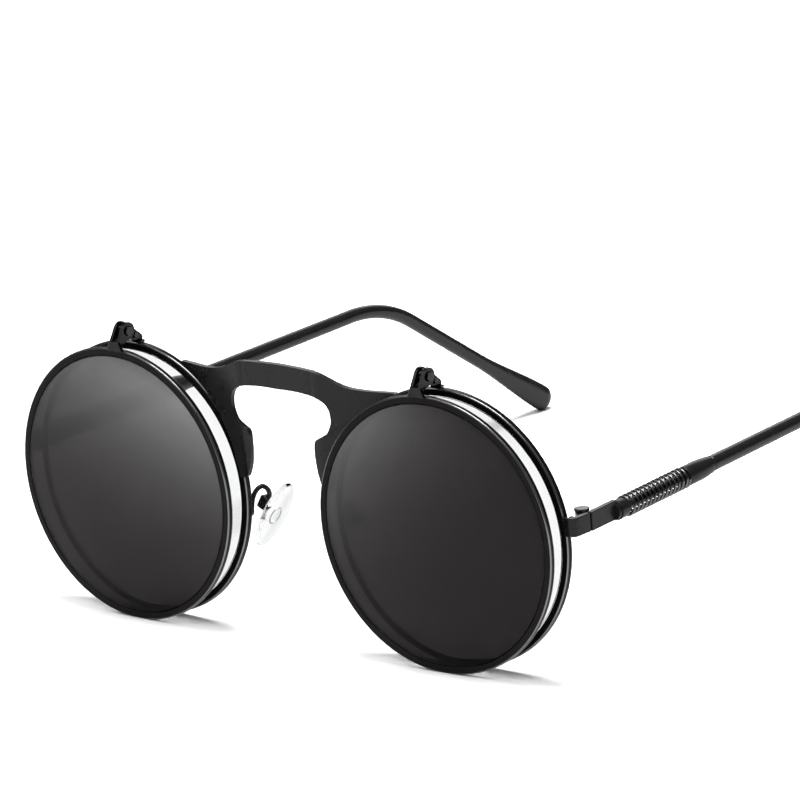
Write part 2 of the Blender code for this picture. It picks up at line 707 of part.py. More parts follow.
def make_tip(bar, side):
    """Plastic tip: straight, bent down behind the ear, and swelling to a flat rounded paddle."""
    turn = EAR_ANGLE + SLOPE
    bend_end = (BEND_START + EAR_RADIUS * sin(turn), -EAR_RADIUS * (1 - cos(turn)))
    height = TEMPLE_Z - BAR_DROP + bend_end[0] * sin(SLOPE) + bend_end[1] * cos(SLOPE)
    rest = hypot(PADDLE_ROUNDING * sin(EAR_ANGLE), PADDLE_HALF_HEIGHT * cos(EAR_ANGLE))
    leg = (height - rest) / sin(EAR_ANGLE)
    stations = [(TIP_START + TIP_STRAIGHT * i / 3, 0, 0, 0) for i in range(3)]
    bend_steps = 2 * ARC_STEPS
    for i in range(bend_steps + 1):
        a = turn * i / bend_steps
        stations.append((BEND_START + EAR_RADIUS * sin(a), -EAR_RADIUS * (1 - cos(a)), a, 0))
    for i in range(7):
        d = leg - PADDLE_LENGTH + PADDLE_LENGTH * i / 6
        stations.append((bend_end[0] + d * cos(turn), bend_end[1] - d * sin(turn), turn, paddle_share(i / 6)))
    rings = []
    for along, up, a, swell in stations:
        ahead = max(0, (BEND_START - along) / TIP_STRAIGHT)
        radius = TIP_RADIUS + (TIP_FRONT_RADIUS - TIP_RADIUS) * ahead
        half_width = radius + (PADDLE_HALF_WIDTH - radius) * swell
        half_height = radius + (PADDLE_HALF_HEIGHT - radius) * swell
        rings.append(tip_ring(along, up, a, half_width, half_height))
    end = stations[-1]
    for i in range(1, 5):
        u = sin(pi / 2 * i / 4.35)
        shrink = sqrt(1 - u * u)
        along = end[0] + PADDLE_ROUNDING * u * cos(turn)
        up = end[1] - PADDLE_ROUNDING * u * sin(turn)
        rings.append(tip_ring(along, up, turn, PADDLE_HALF_WIDTH * shrink, PADDLE_HALF_HEIGHT * shrink))
    tip = piece(f"{side}_temple_tip", lofted(rings), BLACK_PLASTIC, bar)
    depth = ROD_IN_TIP + SEAT
    bore = rod(ROD_RADIUS + RUNNING, TIP_START - OVERRUN, TIP_START + depth, ROUND_STEPS)
    cut(tip, guide(f"{side}_tip_bore", bore, bar))


def tip_ring(along, up, a, half_width, half_height):
    """An oval across the tip's path, which heads down by the angle a."""
    ring = []
    for i in range(TIP_SIDES):
        t = 2 * pi * i / TIP_SIDES
        high = half_height * sin(t)
        ring.append((half_width * cos(t), along + high * sin(a), up + high * cos(a)))
    return ring


def make_flip_front(flip, side):
    """The flip rim, its dark lens, and the bracket whose lobes turn on the hinge pin."""
    to_rim = Matrix.Translation((FLIP_INSET, -FLIP_AXIS_BACK, -FLIP_AXIS_RISE - RIM_RADIUS))
    turned_rim = turned(rim_profile(0, FLIP_RIM_DEPTH), RIM_STEPS, True)
    bmesh.ops.transform(turned_rim, matrix=to_rim, verts=turned_rim.verts)
    piece(f"{side}_flip_rim", turned_rim, BLACK_METAL, flip)
    lens = turned(lens_profile(0, FLIP_RIM_DEPTH, DARK_LENS_THICKNESS), RIM_STEPS)
    bmesh.ops.transform(lens, matrix=to_rim, verts=lens.verts)
    piece(f"{side}_dark_lens", lens, DARK_GLASS, flip)

    low = -FLIP_AXIS_RISE - FOOT_LOW
    high = -FLIP_AXIS_RISE + FOOT_HIGH
    reach = KNUCKLE_WIDTH / 2 + KNUCKLE_GAP + LOBE_WIDTH
    base = FOOT_BASE_WIDTH / 2
    foot_back = -FLIP_AXIS_BACK - SEAT
    foot_outline = [(-base, low), (base, low), (reach, high), (-reach, high)]
    foot = prism(foot_outline, foot_back - FOOT_THICKNESS, foot_back, "Y")
    bracket = piece(f"{side}_flip_bracket", foot, BLACK_METAL, flip)
    bevelled(bracket, PLATE_BEVEL)
    root = (foot_back - FOOT_THICKNESS + LOBE_ROOT_RADIUS, high - LOBE_ROOT_RADIUS)
    lobe = strap((0, 0), LOBE_RADIUS, root, LOBE_ROOT_RADIUS, 2 * ARC_STEPS)
    for name, turn in (("inner", -1), ("outer", 1)):
        edges = sorted((turn * (KNUCKLE_WIDTH / 2 + KNUCKLE_GAP), turn * reach))
        join(bracket, guide(f"{side}_{name}_lobe", prism(lobe, *edges, "X"), flip))
    long = 2 * reach
    bore = guide(f"{side}_flip_bore", across(rod(FLIP_PIN_RADIUS + RUNNING, -long, long), SIDEWAYS), flip)
    cut(bracket, bore)
    return bore


def make_flip_pin(flip, side):
    """The hinge pin, with its round head at the +X end on both eyes."""
    reach = KNUCKLE_WIDTH / 2 + KNUCKLE_GAP + LOBE_WIDTH
    head = reach + SEAT
    profile = [
        (0, -reach), (FLIP_PIN_RADIUS, -reach), (FLIP_PIN_RADIUS, head), (FLIP_HEAD_RADIUS, head),
        (FLIP_HEAD_RADIUS, head + FLIP_HEAD_HEIGHT), (0, head + FLIP_HEAD_HEIGHT),
    ]
    piece(f"{side}_flip_screw", across(turned(profile, SMALL_STEPS), SIDEWAYS), STEEL, flip)


def make_flip_base(mount, seat, bore, side):
    """The knuckle's arm down to a foot on the rear rim, crossed by the stop pin."""
    rim_back = REAR_Y + REAR_RIM_DEPTH / 2 - FLIP_AXIS_BACK
    rim_top = RIM_RADIUS - FLIP_AXIS_Z
    end = (rim_back, rim_top + SEAT + BASE_END_RADIUS)
    arm = prism(
        strap((0, 0), KNUCKLE_RADIUS, end, BASE_END_RADIUS, 2 * ARC_STEPS), -KNUCKLE_WIDTH / 2, KNUCKLE_WIDTH / 2, "X"
    )
    base = piece(f"{side}_flip_base", arm, BLACK_METAL, mount)
    half = BASE_FOOT_WIDTH / 2
    deep = REAR_RIM_DEPTH / 2 - SEAT
    foot = block(
        (-half, rim_back - deep, rim_top - BASE_FOOT_HEIGHT), (half, rim_back + deep, rim_top + BASE_FOOT_HEIGHT)
    )
    join(base, guide(f"{side}_base_foot", foot, mount))
    place = (0, end[0] * STOP_SHARE, end[1] * STOP_SHARE)
    hole = across(rod(STOP_RADIUS + RUNNING, -STOP_LENGTH, STOP_LENGTH), SIDEWAYS, place)
    cut(base, seat, bore, guide(f"{side}_stop_hole", hole, mount))
    stop = across(rod(STOP_RADIUS, -STOP_LENGTH / 2, STOP_LENGTH / 2), SIDEWAYS, place)
    piece(f"{side}_flip_stop", stop, STEEL, mount)


def make_pad(pad, side):
    """The clear pad, the insert moulded into it with its lug, and the screw through the lug."""
    bm = bmesh.new()
    bmesh.ops.create_uvsphere(bm, u_segments=ROUND_STEPS, v_segments=SMALL_STEPS, radius=1)
    for vertex in bm.verts:
        deep = PAD_REAR if vertex.co.x > 0 else PAD_FRONT
        vertex.co = PAD_CENTRE + Vector((
            vertex.co.x * deep, vertex.co.y * PAD_WIDTH / 2, vertex.co.z * PAD_LENGTH / 2
        ))
    nose_pad = piece(f"{side}_nose_pad", bm, SILICONE, pad)
    insert = piece(f"{side}_pad_insert", insert_plate(0), STEEL, pad)
    join(insert, guide(f"{side}_insert_lug", insert_lug(0), pad))
    cut(nose_pad, guide(f"{side}_pad_pocket", insert_plate(SEAT), pad))
    cut(nose_pad, guide(f"{side}_lug_pocket", insert_lug(SEAT), pad))
    reach = LUG_WIDTH / 2 + RUNNING + BOX_WALL
    bore = guide(f"{side}_pad_bore", rod(PAD_PIN_RADIUS + RUNNING, -2 * reach, 2 * reach), pad)
    cut(insert, bore)
    head = -reach - SEAT
    profile = [
        (0, head - PAD_HEAD_HEIGHT), (PAD_HEAD_RADIUS, head - PAD_HEAD_HEIGHT), (PAD_HEAD_RADIUS, head),
        (PAD_PIN_RADIUS, head), (PAD_PIN_RADIUS, reach), (0, reach),
    ]
    piece(f"{side}_pad_screw", turned(profile, SMALL_STEPS), STEEL, pad)
    return bore


def insert_plate(room):
    half = Vector((INSERT_THICKNESS, INSERT_WIDTH, INSERT_LENGTH)) / 2 + Vector((room, room, room))
    return block(PAD_CENTRE - half, PAD_CENTRE + half)


def insert_lug(room):
    outline = strap((0, 0), LUG_RADIUS + room, (-PAD_OFFSET, 0), LUG_ROOT_RADIUS + room)
    return prism(outline, -LUG_WIDTH / 2 - room, LUG_WIDTH / 2 + room, "Y")


def make_pad_box(pad, bore, side):
    """The small box that takes the lug, open towards the pad and below."""
    half = LUG_WIDTH / 2 + RUNNING + BOX_WALL
    room = LUG_RADIUS + BOX_ROOM
    back = LUG_RADIUS + BOX_ROOM / 2 + BOX_BACK_WALL
    solid = block((-BOX_FRONT, -half, -BOX_BELOW), (back, half, room + BOX_TOP_WALL))
    box = piece(f"{side}_pad_box", solid, BLACK_METAL, pad.parent)
    box.matrix_local = pad.matrix_local
    bevelled(box, BOX_BEVEL)
    slot = LUG_WIDTH / 2 + RUNNING
    space = block((-BOX_FRONT - OVERRUN, -slot, -BOX_BELOW - OVERRUN), (back - BOX_BACK_WALL, slot, room))
    cut(box, guide(f"{side}_box_slot", space, pad), bore)


def make_pad_arm(front, eye, pad, side):
    """The wire from the back of the rim, up, over and down into the top of the pad box."""
    root_angle = pi + asin(ARM_ROOT_SHARE)
    mid_radius = RIM_RADIUS - RIM_WIDTH / 2
    back = REAR_Y + REAR_RIM_DEPTH + SEAT
    root = eye.matrix_local @ Vector((mid_radius * cos(root_angle), back, mid_radius * sin(root_angle)))
    top = LUG_RADIUS + BOX_ROOM + BOX_TOP_WALL + SEAT
    end = pad.matrix_local @ Vector((0, 0, top))
    above = pad.matrix_local @ Vector((0, 0, top + ARM_STANDOFF))
    out = root + Vector((0, ARM_STANDOFF, 0))
    way = [out + (above - out) * a + Vector((0, 0, ARM_RISE * up)) for a, up in ARM_SHARES]
    points = smooth([root, out, *way, above, end])
    tube(f"{side}_pad_arm", points, ARM_RADIUS, WIRE_SIDES_RESOLUTION, BLACK_METAL, front)


def mirror_half(holders, front):
    """The right half: each left piece's finished mesh turned over in the mirrored holder."""
    flip = Matrix.Scale(-1, 4, (1, 0, 0))
    bpy.context.view_layer.update()
    mirrored = {front: front}
    for left in holders:
        right = holder(left.name.replace("left_", "right_"), (0, 0, 0), Matrix.Identity(4), mirrored[left.parent])
        right.matrix_local = flip @ left.matrix_local @ flip
        mirrored[left] = right
    bpy.context.view_layer.update()
    graph = bpy.context.evaluated_depsgraph_get()
    for left in [o for o in PARTS.objects if o.name.startswith("left_") and o.type in ("MESH", "CURVE")]:
        if left.name == "left_flip_screw":
            continue
        name = left.name.replace("left_", "right_")
        mesh = bpy.data.meshes.new_from_object(left.evaluated_get(graph))
        mesh.name = name
        bm = bmesh.new()
        bm.from_mesh(mesh)
        bmesh.ops.transform(bm, matrix=flip, verts=bm.verts)
        bmesh.ops.reverse_faces(bm, faces=bm.faces)
        bmesh.ops.remove_doubles(bm, verts=bm.verts, dist=WELD)
        bm.to_mesh(mesh)
        bm.free()
        material = mesh.materials[0]
        right = placed(name, mesh, material, mirrored[left.parent])
        right.matrix_local = flip @ left.matrix_local @ flip
    return mirrored


def print_places(holders):
    """Prints each joint's place and axes in world millimetres, for the record."""
    bpy.context.view_layer.update()
    for empty in holders:
        where = [round(value * 1000, 4) for value in empty.matrix_world.translation]
        axes = [[round(value, 6) for value in empty.matrix_world.col[i][:3]] for i in range(3)]
        print(f"{empty.name}: at {where} mm, X {axes[0]}, Y {axes[1]}, Z {axes[2]}")


def centre_on_origin(front):
    """Moves the whole model so that its box stands centred on the origin."""
    bpy.context.view_layer.update()
    graph = bpy.context.evaluated_depsgraph_get()
    depths = []
    for obj in PARTS.objects:
        if obj.type == "EMPTY":
            continue
        shape = obj.evaluated_get(graph)
        mesh = shape.to_mesh()
        depths += [(shape.matrix_world @ vertex.co).y for vertex in mesh.vertices]
        shape.to_mesh_clear()
    front.location.y = -(min(depths) + max(depths)) / 2


clear_scene()
PARTS = new_collection("round_flip_up_sunglasses")
CUTTERS = new_collection("cutters")
BLACK_METAL = finish("black_metal", (0.030, 0.030, 0.031), 0.38, 0.8)
STEEL = finish("dark_steel", (0.060, 0.058, 0.056), 0.35, 1)
DARK_GLASS = finish("dark_glass", (0.11, 0.10, 0.10), 0.03, 0, 0.6, 1)
CLEAR_GLASS = finish("clear_glass", (0.95, 0.96, 0.96), 0.02, 0, 0.2, 1)
SILICONE = finish("clear_silicone", (0.90, 0.90, 0.88), 0.15, 0, 0.4, 1)
BLACK_PLASTIC = finish("black_plastic", (0.022, 0.022, 0.022), 0.30, 0)

FRONT = holder("front", (0, 0, 0), Matrix.Identity(4), None)
TILTED = Matrix.Rotation(TILT, 4, "X")
MIDDLE = holder("bridge_middle", (0, 0, EYE_Z), TILTED, FRONT)
EYE = holder("left_eye", (HALF_SPACING, 0, EYE_Z), Matrix.Rotation(WRAP, 4, "Z") @ TILTED, FRONT)
MOUNT = holder("left_flip_mount", (-FLIP_INSET, FLIP_AXIS_BACK, FLIP_AXIS_Z), Matrix.Identity(4), EYE)
FLIP = holder("left_flip_axis", (0, 0, 0), Matrix.Identity(4), MOUNT)
HINGE = holder("left_hinge_axis", (AXIS_X, AXIS_Y, TEMPLE_Z), Matrix.Identity(4), FRONT)
TEMPLE = holder("left_temple_axis", (0, 0, 0), Matrix.Rotation(SPLAY, 4, "Z"), HINGE)
BAR = holder("left_temple_bar", (0, 0, 0), bar_frame(0), TEMPLE)
PAD_TURN = Matrix.Rotation(-PAD_TILT, 4, "Y") @ Matrix.Rotation(-PAD_LEAN, 4, "X")
PAD = holder("left_pad_axis", (PAD_OUT, PAD_BACK, EYE_Z - PAD_DROP), PAD_TURN, FRONT)

LEFT_SEAT = rim_seat("left_rim_seat", EYE)
RIGHT_TURN = Matrix.Rotation(-WRAP, 4, "Z") @ TILTED
RIGHT_EYE_GUIDE = holder("bridge_right_eye", (-HALF_SPACING, 0, EYE_Z), RIGHT_TURN, FRONT)
RIGHT_SEAT = rim_seat("right_rim_seat", RIGHT_EYE_GUIDE)

make_eye(EYE, "left")
make_bridge(MIDDLE, (LEFT_SEAT, RIGHT_SEAT))
make_endpiece(FRONT, LEFT_SEAT, "left")
make_lock(FRONT, LEFT_SEAT, "left")
HINGE_BORE = make_hinge(HINGE, "left")
make_temple_plate(TEMPLE, BAR, HINGE_BORE, "left")
make_ferrules(BAR, "left")
make_spring(BAR, "left")
make_tip(BAR, "left")
FLIP_BORE = make_flip_front(FLIP, "left")
make_flip_pin(FLIP, "left")
make_flip_base(MOUNT, LEFT_SEAT, FLIP_BORE, "left")
PAD_BORE = make_pad(PAD, "left")
make_pad_box(PAD, PAD_BORE, "left")
make_pad_arm(FRONT, EYE, PAD, "left")
MIRRORED = mirror_half((EYE, MOUNT, FLIP, HINGE, TEMPLE, BAR, PAD), FRONT)
make_flip_pin(MIRRORED[FLIP], "right")
centre_on_origin(FRONT)
print_places(MIRRORED.values())
print_places(MIRRORED.keys())
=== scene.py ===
"""Round flip-up sunglasses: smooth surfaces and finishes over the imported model, and a small studio."""

import bmesh
import bpy
import numpy as np
from mathutils import Matrix


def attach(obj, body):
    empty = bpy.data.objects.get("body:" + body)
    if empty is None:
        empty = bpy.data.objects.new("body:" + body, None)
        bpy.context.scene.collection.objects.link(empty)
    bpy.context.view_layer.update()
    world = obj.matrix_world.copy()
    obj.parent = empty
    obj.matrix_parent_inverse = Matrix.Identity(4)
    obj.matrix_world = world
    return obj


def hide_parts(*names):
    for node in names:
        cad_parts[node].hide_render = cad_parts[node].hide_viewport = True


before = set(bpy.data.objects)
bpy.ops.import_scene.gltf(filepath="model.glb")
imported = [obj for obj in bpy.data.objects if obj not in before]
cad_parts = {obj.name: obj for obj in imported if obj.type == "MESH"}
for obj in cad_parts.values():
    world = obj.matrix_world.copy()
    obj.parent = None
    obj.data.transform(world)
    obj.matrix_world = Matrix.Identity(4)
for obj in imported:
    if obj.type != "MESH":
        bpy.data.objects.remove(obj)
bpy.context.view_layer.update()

# Rear rims: two rings of profiled steel wire in black satin plating. Each is rolled with a groove for its
# lens and slit at the outer side, where the rim lock closes it.
WRAP, TILT = 2.2, 1.3
EYE_PLACE = (0.03715, -0.0741733, 0.0259708)
RIM_RADIUS, RIM_WIDTH, RIM_ROUND = 0.0261, 0.0014, 0.00032
REAR_FRONT, REAR_DEPTH = 0.0051, 0.0014
GROOVE_SHARE, GROOVE_DEPTH = 0.64, 0.0006
SLIT_ANGLE, SLIT_HALF = 7.52, 0.03
RIM_STEPS, NICK = 288, 0.00007


def move(x, y, z):
    """A 4 by 4 matrix that shifts by x, y, z."""
    matrix = np.eye(4)
    matrix[:3, 3] = x, y, z
    return matrix


def turn(axis, degrees):
    """A 4 by 4 matrix that turns about one axis: cosine on the diagonal, plus and minus sine off it."""
    matrix = np.eye(4)
    a, b = {"X": (1, 2), "Y": (2, 0), "Z": (0, 1)}[axis]
    matrix[a, a] = matrix[b, b] = np.cos(np.radians(degrees))
    matrix[b, a] = np.sin(np.radians(degrees))
    matrix[a, b] = -matrix[b, a]
    return matrix


def carried(matrix, points):
    """Points taken from a holder's own frame into the whole frame."""
    return points @ matrix[:3, :3].T + matrix[:3, 3]


def quads(rows, columns, close_rows, close_columns, caps):
    """Faces over a grid of numbered points; closing joins the last to the first, caps fill both end rows."""
    number = np.arange(rows * columns).reshape(rows, columns)
    ends = [number[0, ::-1].tolist(), number[-1].tolist()] if caps else []
    number = np.vstack([number, number[:1]]) if close_rows else number
    number = np.hstack([number, number[:, :1]]) if close_columns else number
    corners = number[:-1, :-1], number[1:, :-1], number[1:, 1:], number[:-1, 1:]
    return np.stack(corners, -1).reshape(-1, 4).tolist() + ends


def clean(mesh, sharp):
    """Merges doubled points, turns every face outwards, and shades round faces smooth up to an angle."""
    bm = bmesh.new()
    bm.from_mesh(mesh)
    bmesh.ops.remove_doubles(bm, verts=bm.verts, dist=1e-7)
    bmesh.ops.recalc_face_normals(bm, faces=bm.faces)
    bm.to_mesh(mesh)
    bm.free()
    mesh.shade_smooth()
    mesh.set_sharp_from_angle(angle=np.radians(sharp))


def fitted(name, mesh, material, body, node):
    """A finished mesh as a piece that rides on its body and stands for its CAD node."""
    obj = bpy.data.objects.new(name, mesh)
    bpy.context.scene.collection.objects.link(obj)
    mesh.materials.clear()
    mesh.materials.append(material)
    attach(obj, body)
    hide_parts(node)
    return obj


def pair(node, grid, material, bodies, close_rows=False, close_columns=False, caps=False, sharp=35,
         marks=None):
    """The left piece from a grid of points in the whole frame, and the right one as its mirror in X; marks
    give one number per column, kept on the points for the material."""
    faces = quads(*grid.shape[:2], close_rows, close_columns, caps)
    for side, sign, body in (("left", 1, bodies[0]), ("right", -1, bodies[1])):
        mesh = bpy.data.meshes.new(f"{side}_{node}_skin")
        mesh.from_pydata(grid.reshape(-1, 3) * (sign, 1, 1), [], faces)
        if marks is not None:
            values = np.tile(np.array(marks, np.float32), len(grid))
            mesh.attributes.new("worn_edge", "FLOAT", "POINT").data.foreach_set("value", values)
        clean(mesh, sharp)
        fitted(mesh.name, mesh, material, body, f"{side}_{node}")


def revolved(profile, angles):
    """A profile of (radius, place along Y) carried round Y: x is radius times cosine, z radius times sine."""
    radius, along = np.array(profile).T
    angles = np.asarray(angles)[:, None]
    return np.stack([radius * np.cos(angles), along + 0 * angles, radius * np.sin(angles)], -1)


def corner_arc(centre, radius, start, end, steps=5):
    """Points of a quarter or part circle in a profile, angles in degrees from the radius direction."""
    a = np.radians(np.linspace(start, end, steps))
    return list(zip(centre[0] + radius * np.cos(a), centre[1] + radius * np.sin(a)))


def rim_profile(front, depth):
    """A rim's section: rounded outside, small inner corners, and the lens groove as a wide V."""
    inner, back, middle = RIM_RADIUS - RIM_WIDTH, front + depth, front + depth / 2
    groove = depth * GROOVE_SHARE / 2
    round_front = corner_arc((RIM_RADIUS - RIM_ROUND, front + RIM_ROUND), RIM_ROUND, -90, 0)
    round_back = corner_arc((RIM_RADIUS - RIM_ROUND, back - RIM_ROUND), RIM_ROUND, 0, 90)
    return [
        (inner, front + NICK), (inner + NICK, front), *round_front, *round_back,
        (inner + NICK, back), (inner, back - NICK), (inner, middle + groove), (inner + GROOVE_DEPTH, middle),
        (inner, middle - groove),
    ]


def add(tree, kind, inputs=(), **settings):
    """One shader node, with its settings, and its inputs set to values or linked to sockets."""
    made = tree.nodes.new(kind)
    for name, value in settings.items():
        setattr(made, name, value)
    for name, value in dict(inputs).items():
        if isinstance(value, bpy.types.NodeSocket):
            tree.links.new(value, made.inputs[name])
        else:
            made.inputs[name].default_value = value
    return made


def new_group(name, inputs, outputs):
    """An empty shader node group with named sockets, and its two end nodes."""
    group = bpy.data.node_groups.new(name, "ShaderNodeTree")
    for direction, sockets in (("INPUT", inputs), ("OUTPUT", outputs)):
        for socket, kind in sockets:
            group.interface.new_socket(socket, in_out=direction, socket_type=f"NodeSocket{kind}")
    return group, group.nodes.new("NodeGroupInput").outputs, group.nodes.new("NodeGroupOutput")


def surface_group():
    """Handled surface: fine grain for the height, broad smudges that shift colour and roughness a little."""
    group, given, out = new_group(
        "handled_surface",
        [("Colour", "Color"), ("Lighter", "Color"), ("Roughness", "Float"), ("Spread", "Float"),
         ("Grain", "Float")],
        [("Colour", "Color"), ("Roughness", "Float"), ("Height", "Float")],
    )
    place = add(group, "ShaderNodeTexCoord").outputs["Object"]
    grain = add(group, "ShaderNodeTexNoise", {"Vector": place, "Scale": given["Grain"], "Detail": 3.0})
    smudge = add(group, "ShaderNodeTexNoise", {
        "Vector": place, "Scale": 210.0, "Detail": 4.0, "Roughness": 0.6})
    broad = add(group, "ShaderNodeMapRange", {
        "Value": smudge.outputs["Fac"], "From Min": 0.35, "From Max": 0.7})
    shade = add(group, "ShaderNodeMix", data_type="RGBA")
    group.links.new(broad.outputs["Result"], shade.inputs["Factor"])
    group.links.new(given["Colour"], shade.inputs["A"])
    group.links.new(given["Lighter"], shade.inputs["B"])
    swing = add(group, "ShaderNodeMath", {0: broad.outputs["Result"], 1: given["Spread"]},
                operation="MULTIPLY")
    rough = add(group, "ShaderNodeMath", {0: swing.outputs[0], 1: given["Roughness"]}, operation="ADD")
    group.links.new(shade.outputs["Result"], out.inputs["Colour"])
    group.links.new(rough.outputs[0], out.inputs["Roughness"])
    group.links.new(grain.outputs["Fac"], out.inputs["Height"])
    return group


HANDLED = surface_group()


def finish(name, colour, lighter, roughness, spread, grain, depth, metallic=0.0, **sockets):
    """A material whose colour, roughness and fine bump come from the handled surface group."""
    material = bpy.data.materials.new(name)
    material.use_nodes = True
    tree = material.node_tree
    shader = tree.nodes["Principled BSDF"]
    surface = tree.nodes.new("ShaderNodeGroup")
    surface.node_tree = HANDLED
    surface.inputs["Colour"].default_value = (*colour, 1)
    surface.inputs["Lighter"].default_value = (*lighter, 1)
    surface.inputs["Roughness"].default_value = roughness
    surface.inputs["Spread"].default_value = spread
    surface.inputs["Grain"].default_value = grain
    bump = add(tree, "ShaderNodeBump", {
        "Strength": 1.0, "Distance": depth, "Height": surface.outputs["Height"]})
    tree.links.new(surface.outputs["Colour"], shader.inputs["Base Color"])
    tree.links.new(surface.outputs["Roughness"], shader.inputs["Roughness"])
    tree.links.new(bump.outputs["Normal"], shader.inputs["Normal"])
    shader.inputs["Metallic"].default_value = metallic
    for socket, value in sockets.items():
        shader.inputs[socket.replace("_", " ")].default_value = value
    return material


BLACK_METAL = finish("black_satin_plating", (0.0130, 0.0128, 0.0126), (0.018, 0.0178, 0.0175),
                     roughness=0.25, spread=0.10, grain=5200.0, depth=0.0000016, IOR=1.38)
RIM_METAL = finish("black_polished_plating", (0.0065, 0.0064, 0.0063), (0.010, 0.0098, 0.0097),
                   roughness=0.14, spread=0.08, grain=5200.0, depth=0.0000008, IOR=1.22)
# One number per point of the rim's section: 1 where the front round is worn to bare metal.
EDGE_MARKS = [0, 0, 0, 1, 1, 0.7, 0, 0, 0, 0, 0, 0, 0, 0, 0, 0, 0]
WORN_COLOUR = (0.30, 0.296, 0.29, 1)
rim_tree = RIM_METAL.node_tree
worn = add(rim_tree, "ShaderNodeAttribute", attribute_name="worn_edge").outputs["Fac"]
thin = add(rim_tree, "ShaderNodeMix", {"Factor": worn}, data_type="RGBA")
thin.inputs["B"].default_value = WORN_COLOUR
plated = rim_tree.nodes["Principled BSDF"].inputs
rim_tree.links.new(plated["Base Color"].links[0].from_socket, thin.inputs["A"])
rim_tree.links.new(thin.outputs["Result"], plated["Base Color"])
rim_tree.links.new(worn, plated["Metallic"])
EYE = move(*EYE_PLACE) @ turn("Z", WRAP) @ turn("X", TILT)
slit_open = np.radians(np.linspace(SLIT_ANGLE + SLIT_HALF, SLIT_ANGLE + 360 - SLIT_HALF, RIM_STEPS))
rear_rim = revolved(rim_profile(REAR_FRONT, REAR_DEPTH), slit_open)
pair("rim", carried(EYE, rear_rim), RIM_METAL, ("front", "front"), close_columns=True,
     caps=True, marks=EDGE_MARKS)

# Clear lenses: thin clear base lenses, domed towards the front and cut with a bevelled edge. The bevel
# stands in the rim's groove, which holds the lens.
LENS_CURVE, LENS_CLEARANCE, CLEAR_THICKNESS = 0.150, 0.00015, 0.0014
LENS_RINGS, LENS_STEPS = 24, 192


def lens_profile(front, depth, thickness):
    """A domed lens from pole to pole: the sag is the dome's radius less the height of its circle."""
    edge = RIM_RADIUS - RIM_WIDTH - LENS_CLEARANCE
    middle, bevel = front + depth / 2, depth * GROOVE_SHARE / 2
    across = np.linspace(0, edge, LENS_RINGS)
    sag = LENS_CURVE - np.sqrt(LENS_CURVE**2 - across**2)
    face = list(zip(across, middle - thickness / 2 - sag[-1] + sag))
    back = list(zip(across, middle + thickness / 2 - sag[-1] + sag))
    return [*face, (edge, middle - bevel), (edge + GROOVE_DEPTH, middle), (edge, middle + bevel), *back[::-1]]


def glass(name, colour, ior, roughness, smear):
    """Clear or tinted material: plain transmission, with wiped smears that change only the roughness."""
    material = bpy.data.materials.new(name)
    material.use_nodes = True
    tree = material.node_tree
    shader = tree.nodes["Principled BSDF"]
    place = add(tree, "ShaderNodeTexCoord").outputs["Object"]
    smears = add(tree, "ShaderNodeTexNoise", {
        "Vector": place, "Scale": 130.0, "Detail": 5.0, "Distortion": 0.8})
    rough = add(tree, "ShaderNodeMapRange", {
        "Value": smears.outputs["Fac"], "From Min": 0.4, "From Max": 0.75, "To Min": roughness,
        "To Max": smear})
    tree.links.new(rough.outputs["Result"], shader.inputs["Roughness"])
    shader.inputs["Base Color"].default_value = (*colour, 1)
    shader.inputs["IOR"].default_value = ior
    shader.inputs["Transmission Weight"].default_value = 1.0
    return material, tree, shader


CLEAR_GLASS, _, _ = glass("clear_lens", (0.97, 0.98, 0.98), ior=1.45, roughness=0.0, smear=0.003)
full_turn = np.linspace(0, 2 * np.pi, LENS_STEPS, endpoint=False)
clear_lens = revolved(lens_profile(REAR_FRONT, REAR_DEPTH, CLEAR_THICKNESS), full_turn)
pair("clear_lens", carried(EYE, clear_lens), CLEAR_GLASS, ("front", "front"), close_rows=True)

# Bridge: one stamped keyhole plate, bent back at a soft crease on each side and soldered to both rims.
# Its skin runs from the keyhole's edge out to the top edge and on down along each rim.
HALF_SPACING, INNER_GAP = 0.03715, 0.01105
PLATE_FRONT, PLATE_THICKNESS, CREASE, BEND, BEND_RUN = 0.00275, 0.0010, 0.0089, 10.5, 0.0012
BEAD_WIDTH, BEAD_DEPTH, PRESSED_EDGE = 0.0014, 0.00007, 0.00012
RIM_SHIFT, RIM_CLEAR = 0.00018, 0.00002
TOP_STEPS, EDGE_STEPS, PLATE_COLUMNS, CURVE_STEPS = 110, 200, 17, 12
TOP_SHARES = (
    (0, 1.029), (0.108, 1.025), (0.180, 1.020), (0.250, 1.008), (0.300, 0.982), (0.347, 0.952),
    (0.395, 0.928), (0.439, 0.914), (0.500, 0.907), (0.552, 0.905), (0.640, 0.907), (0.690, 0.905),
)
KEYHOLE_SHARES = (
    (0, 0.849), (0.344, 0.850), (0.540, 0.845), (0.724, 0.836), (0.840, 0.824), (0.950, 0.800),
    (1.020, 0.772), (1.062, 0.735), (1.078, 0.690), (1.073, 0.652), (1.043, 0.617), (0.995, 0.578),
    (0.924, 0.548), (0.850, 0.528), (0.755, 0.517), (0.716, 0.488), (0.706, 0.440), (0.710, 0.364),
    (0.735, 0.275), (0.790, 0.200), (0.830, 0.168), (0.900, 0.153),
)


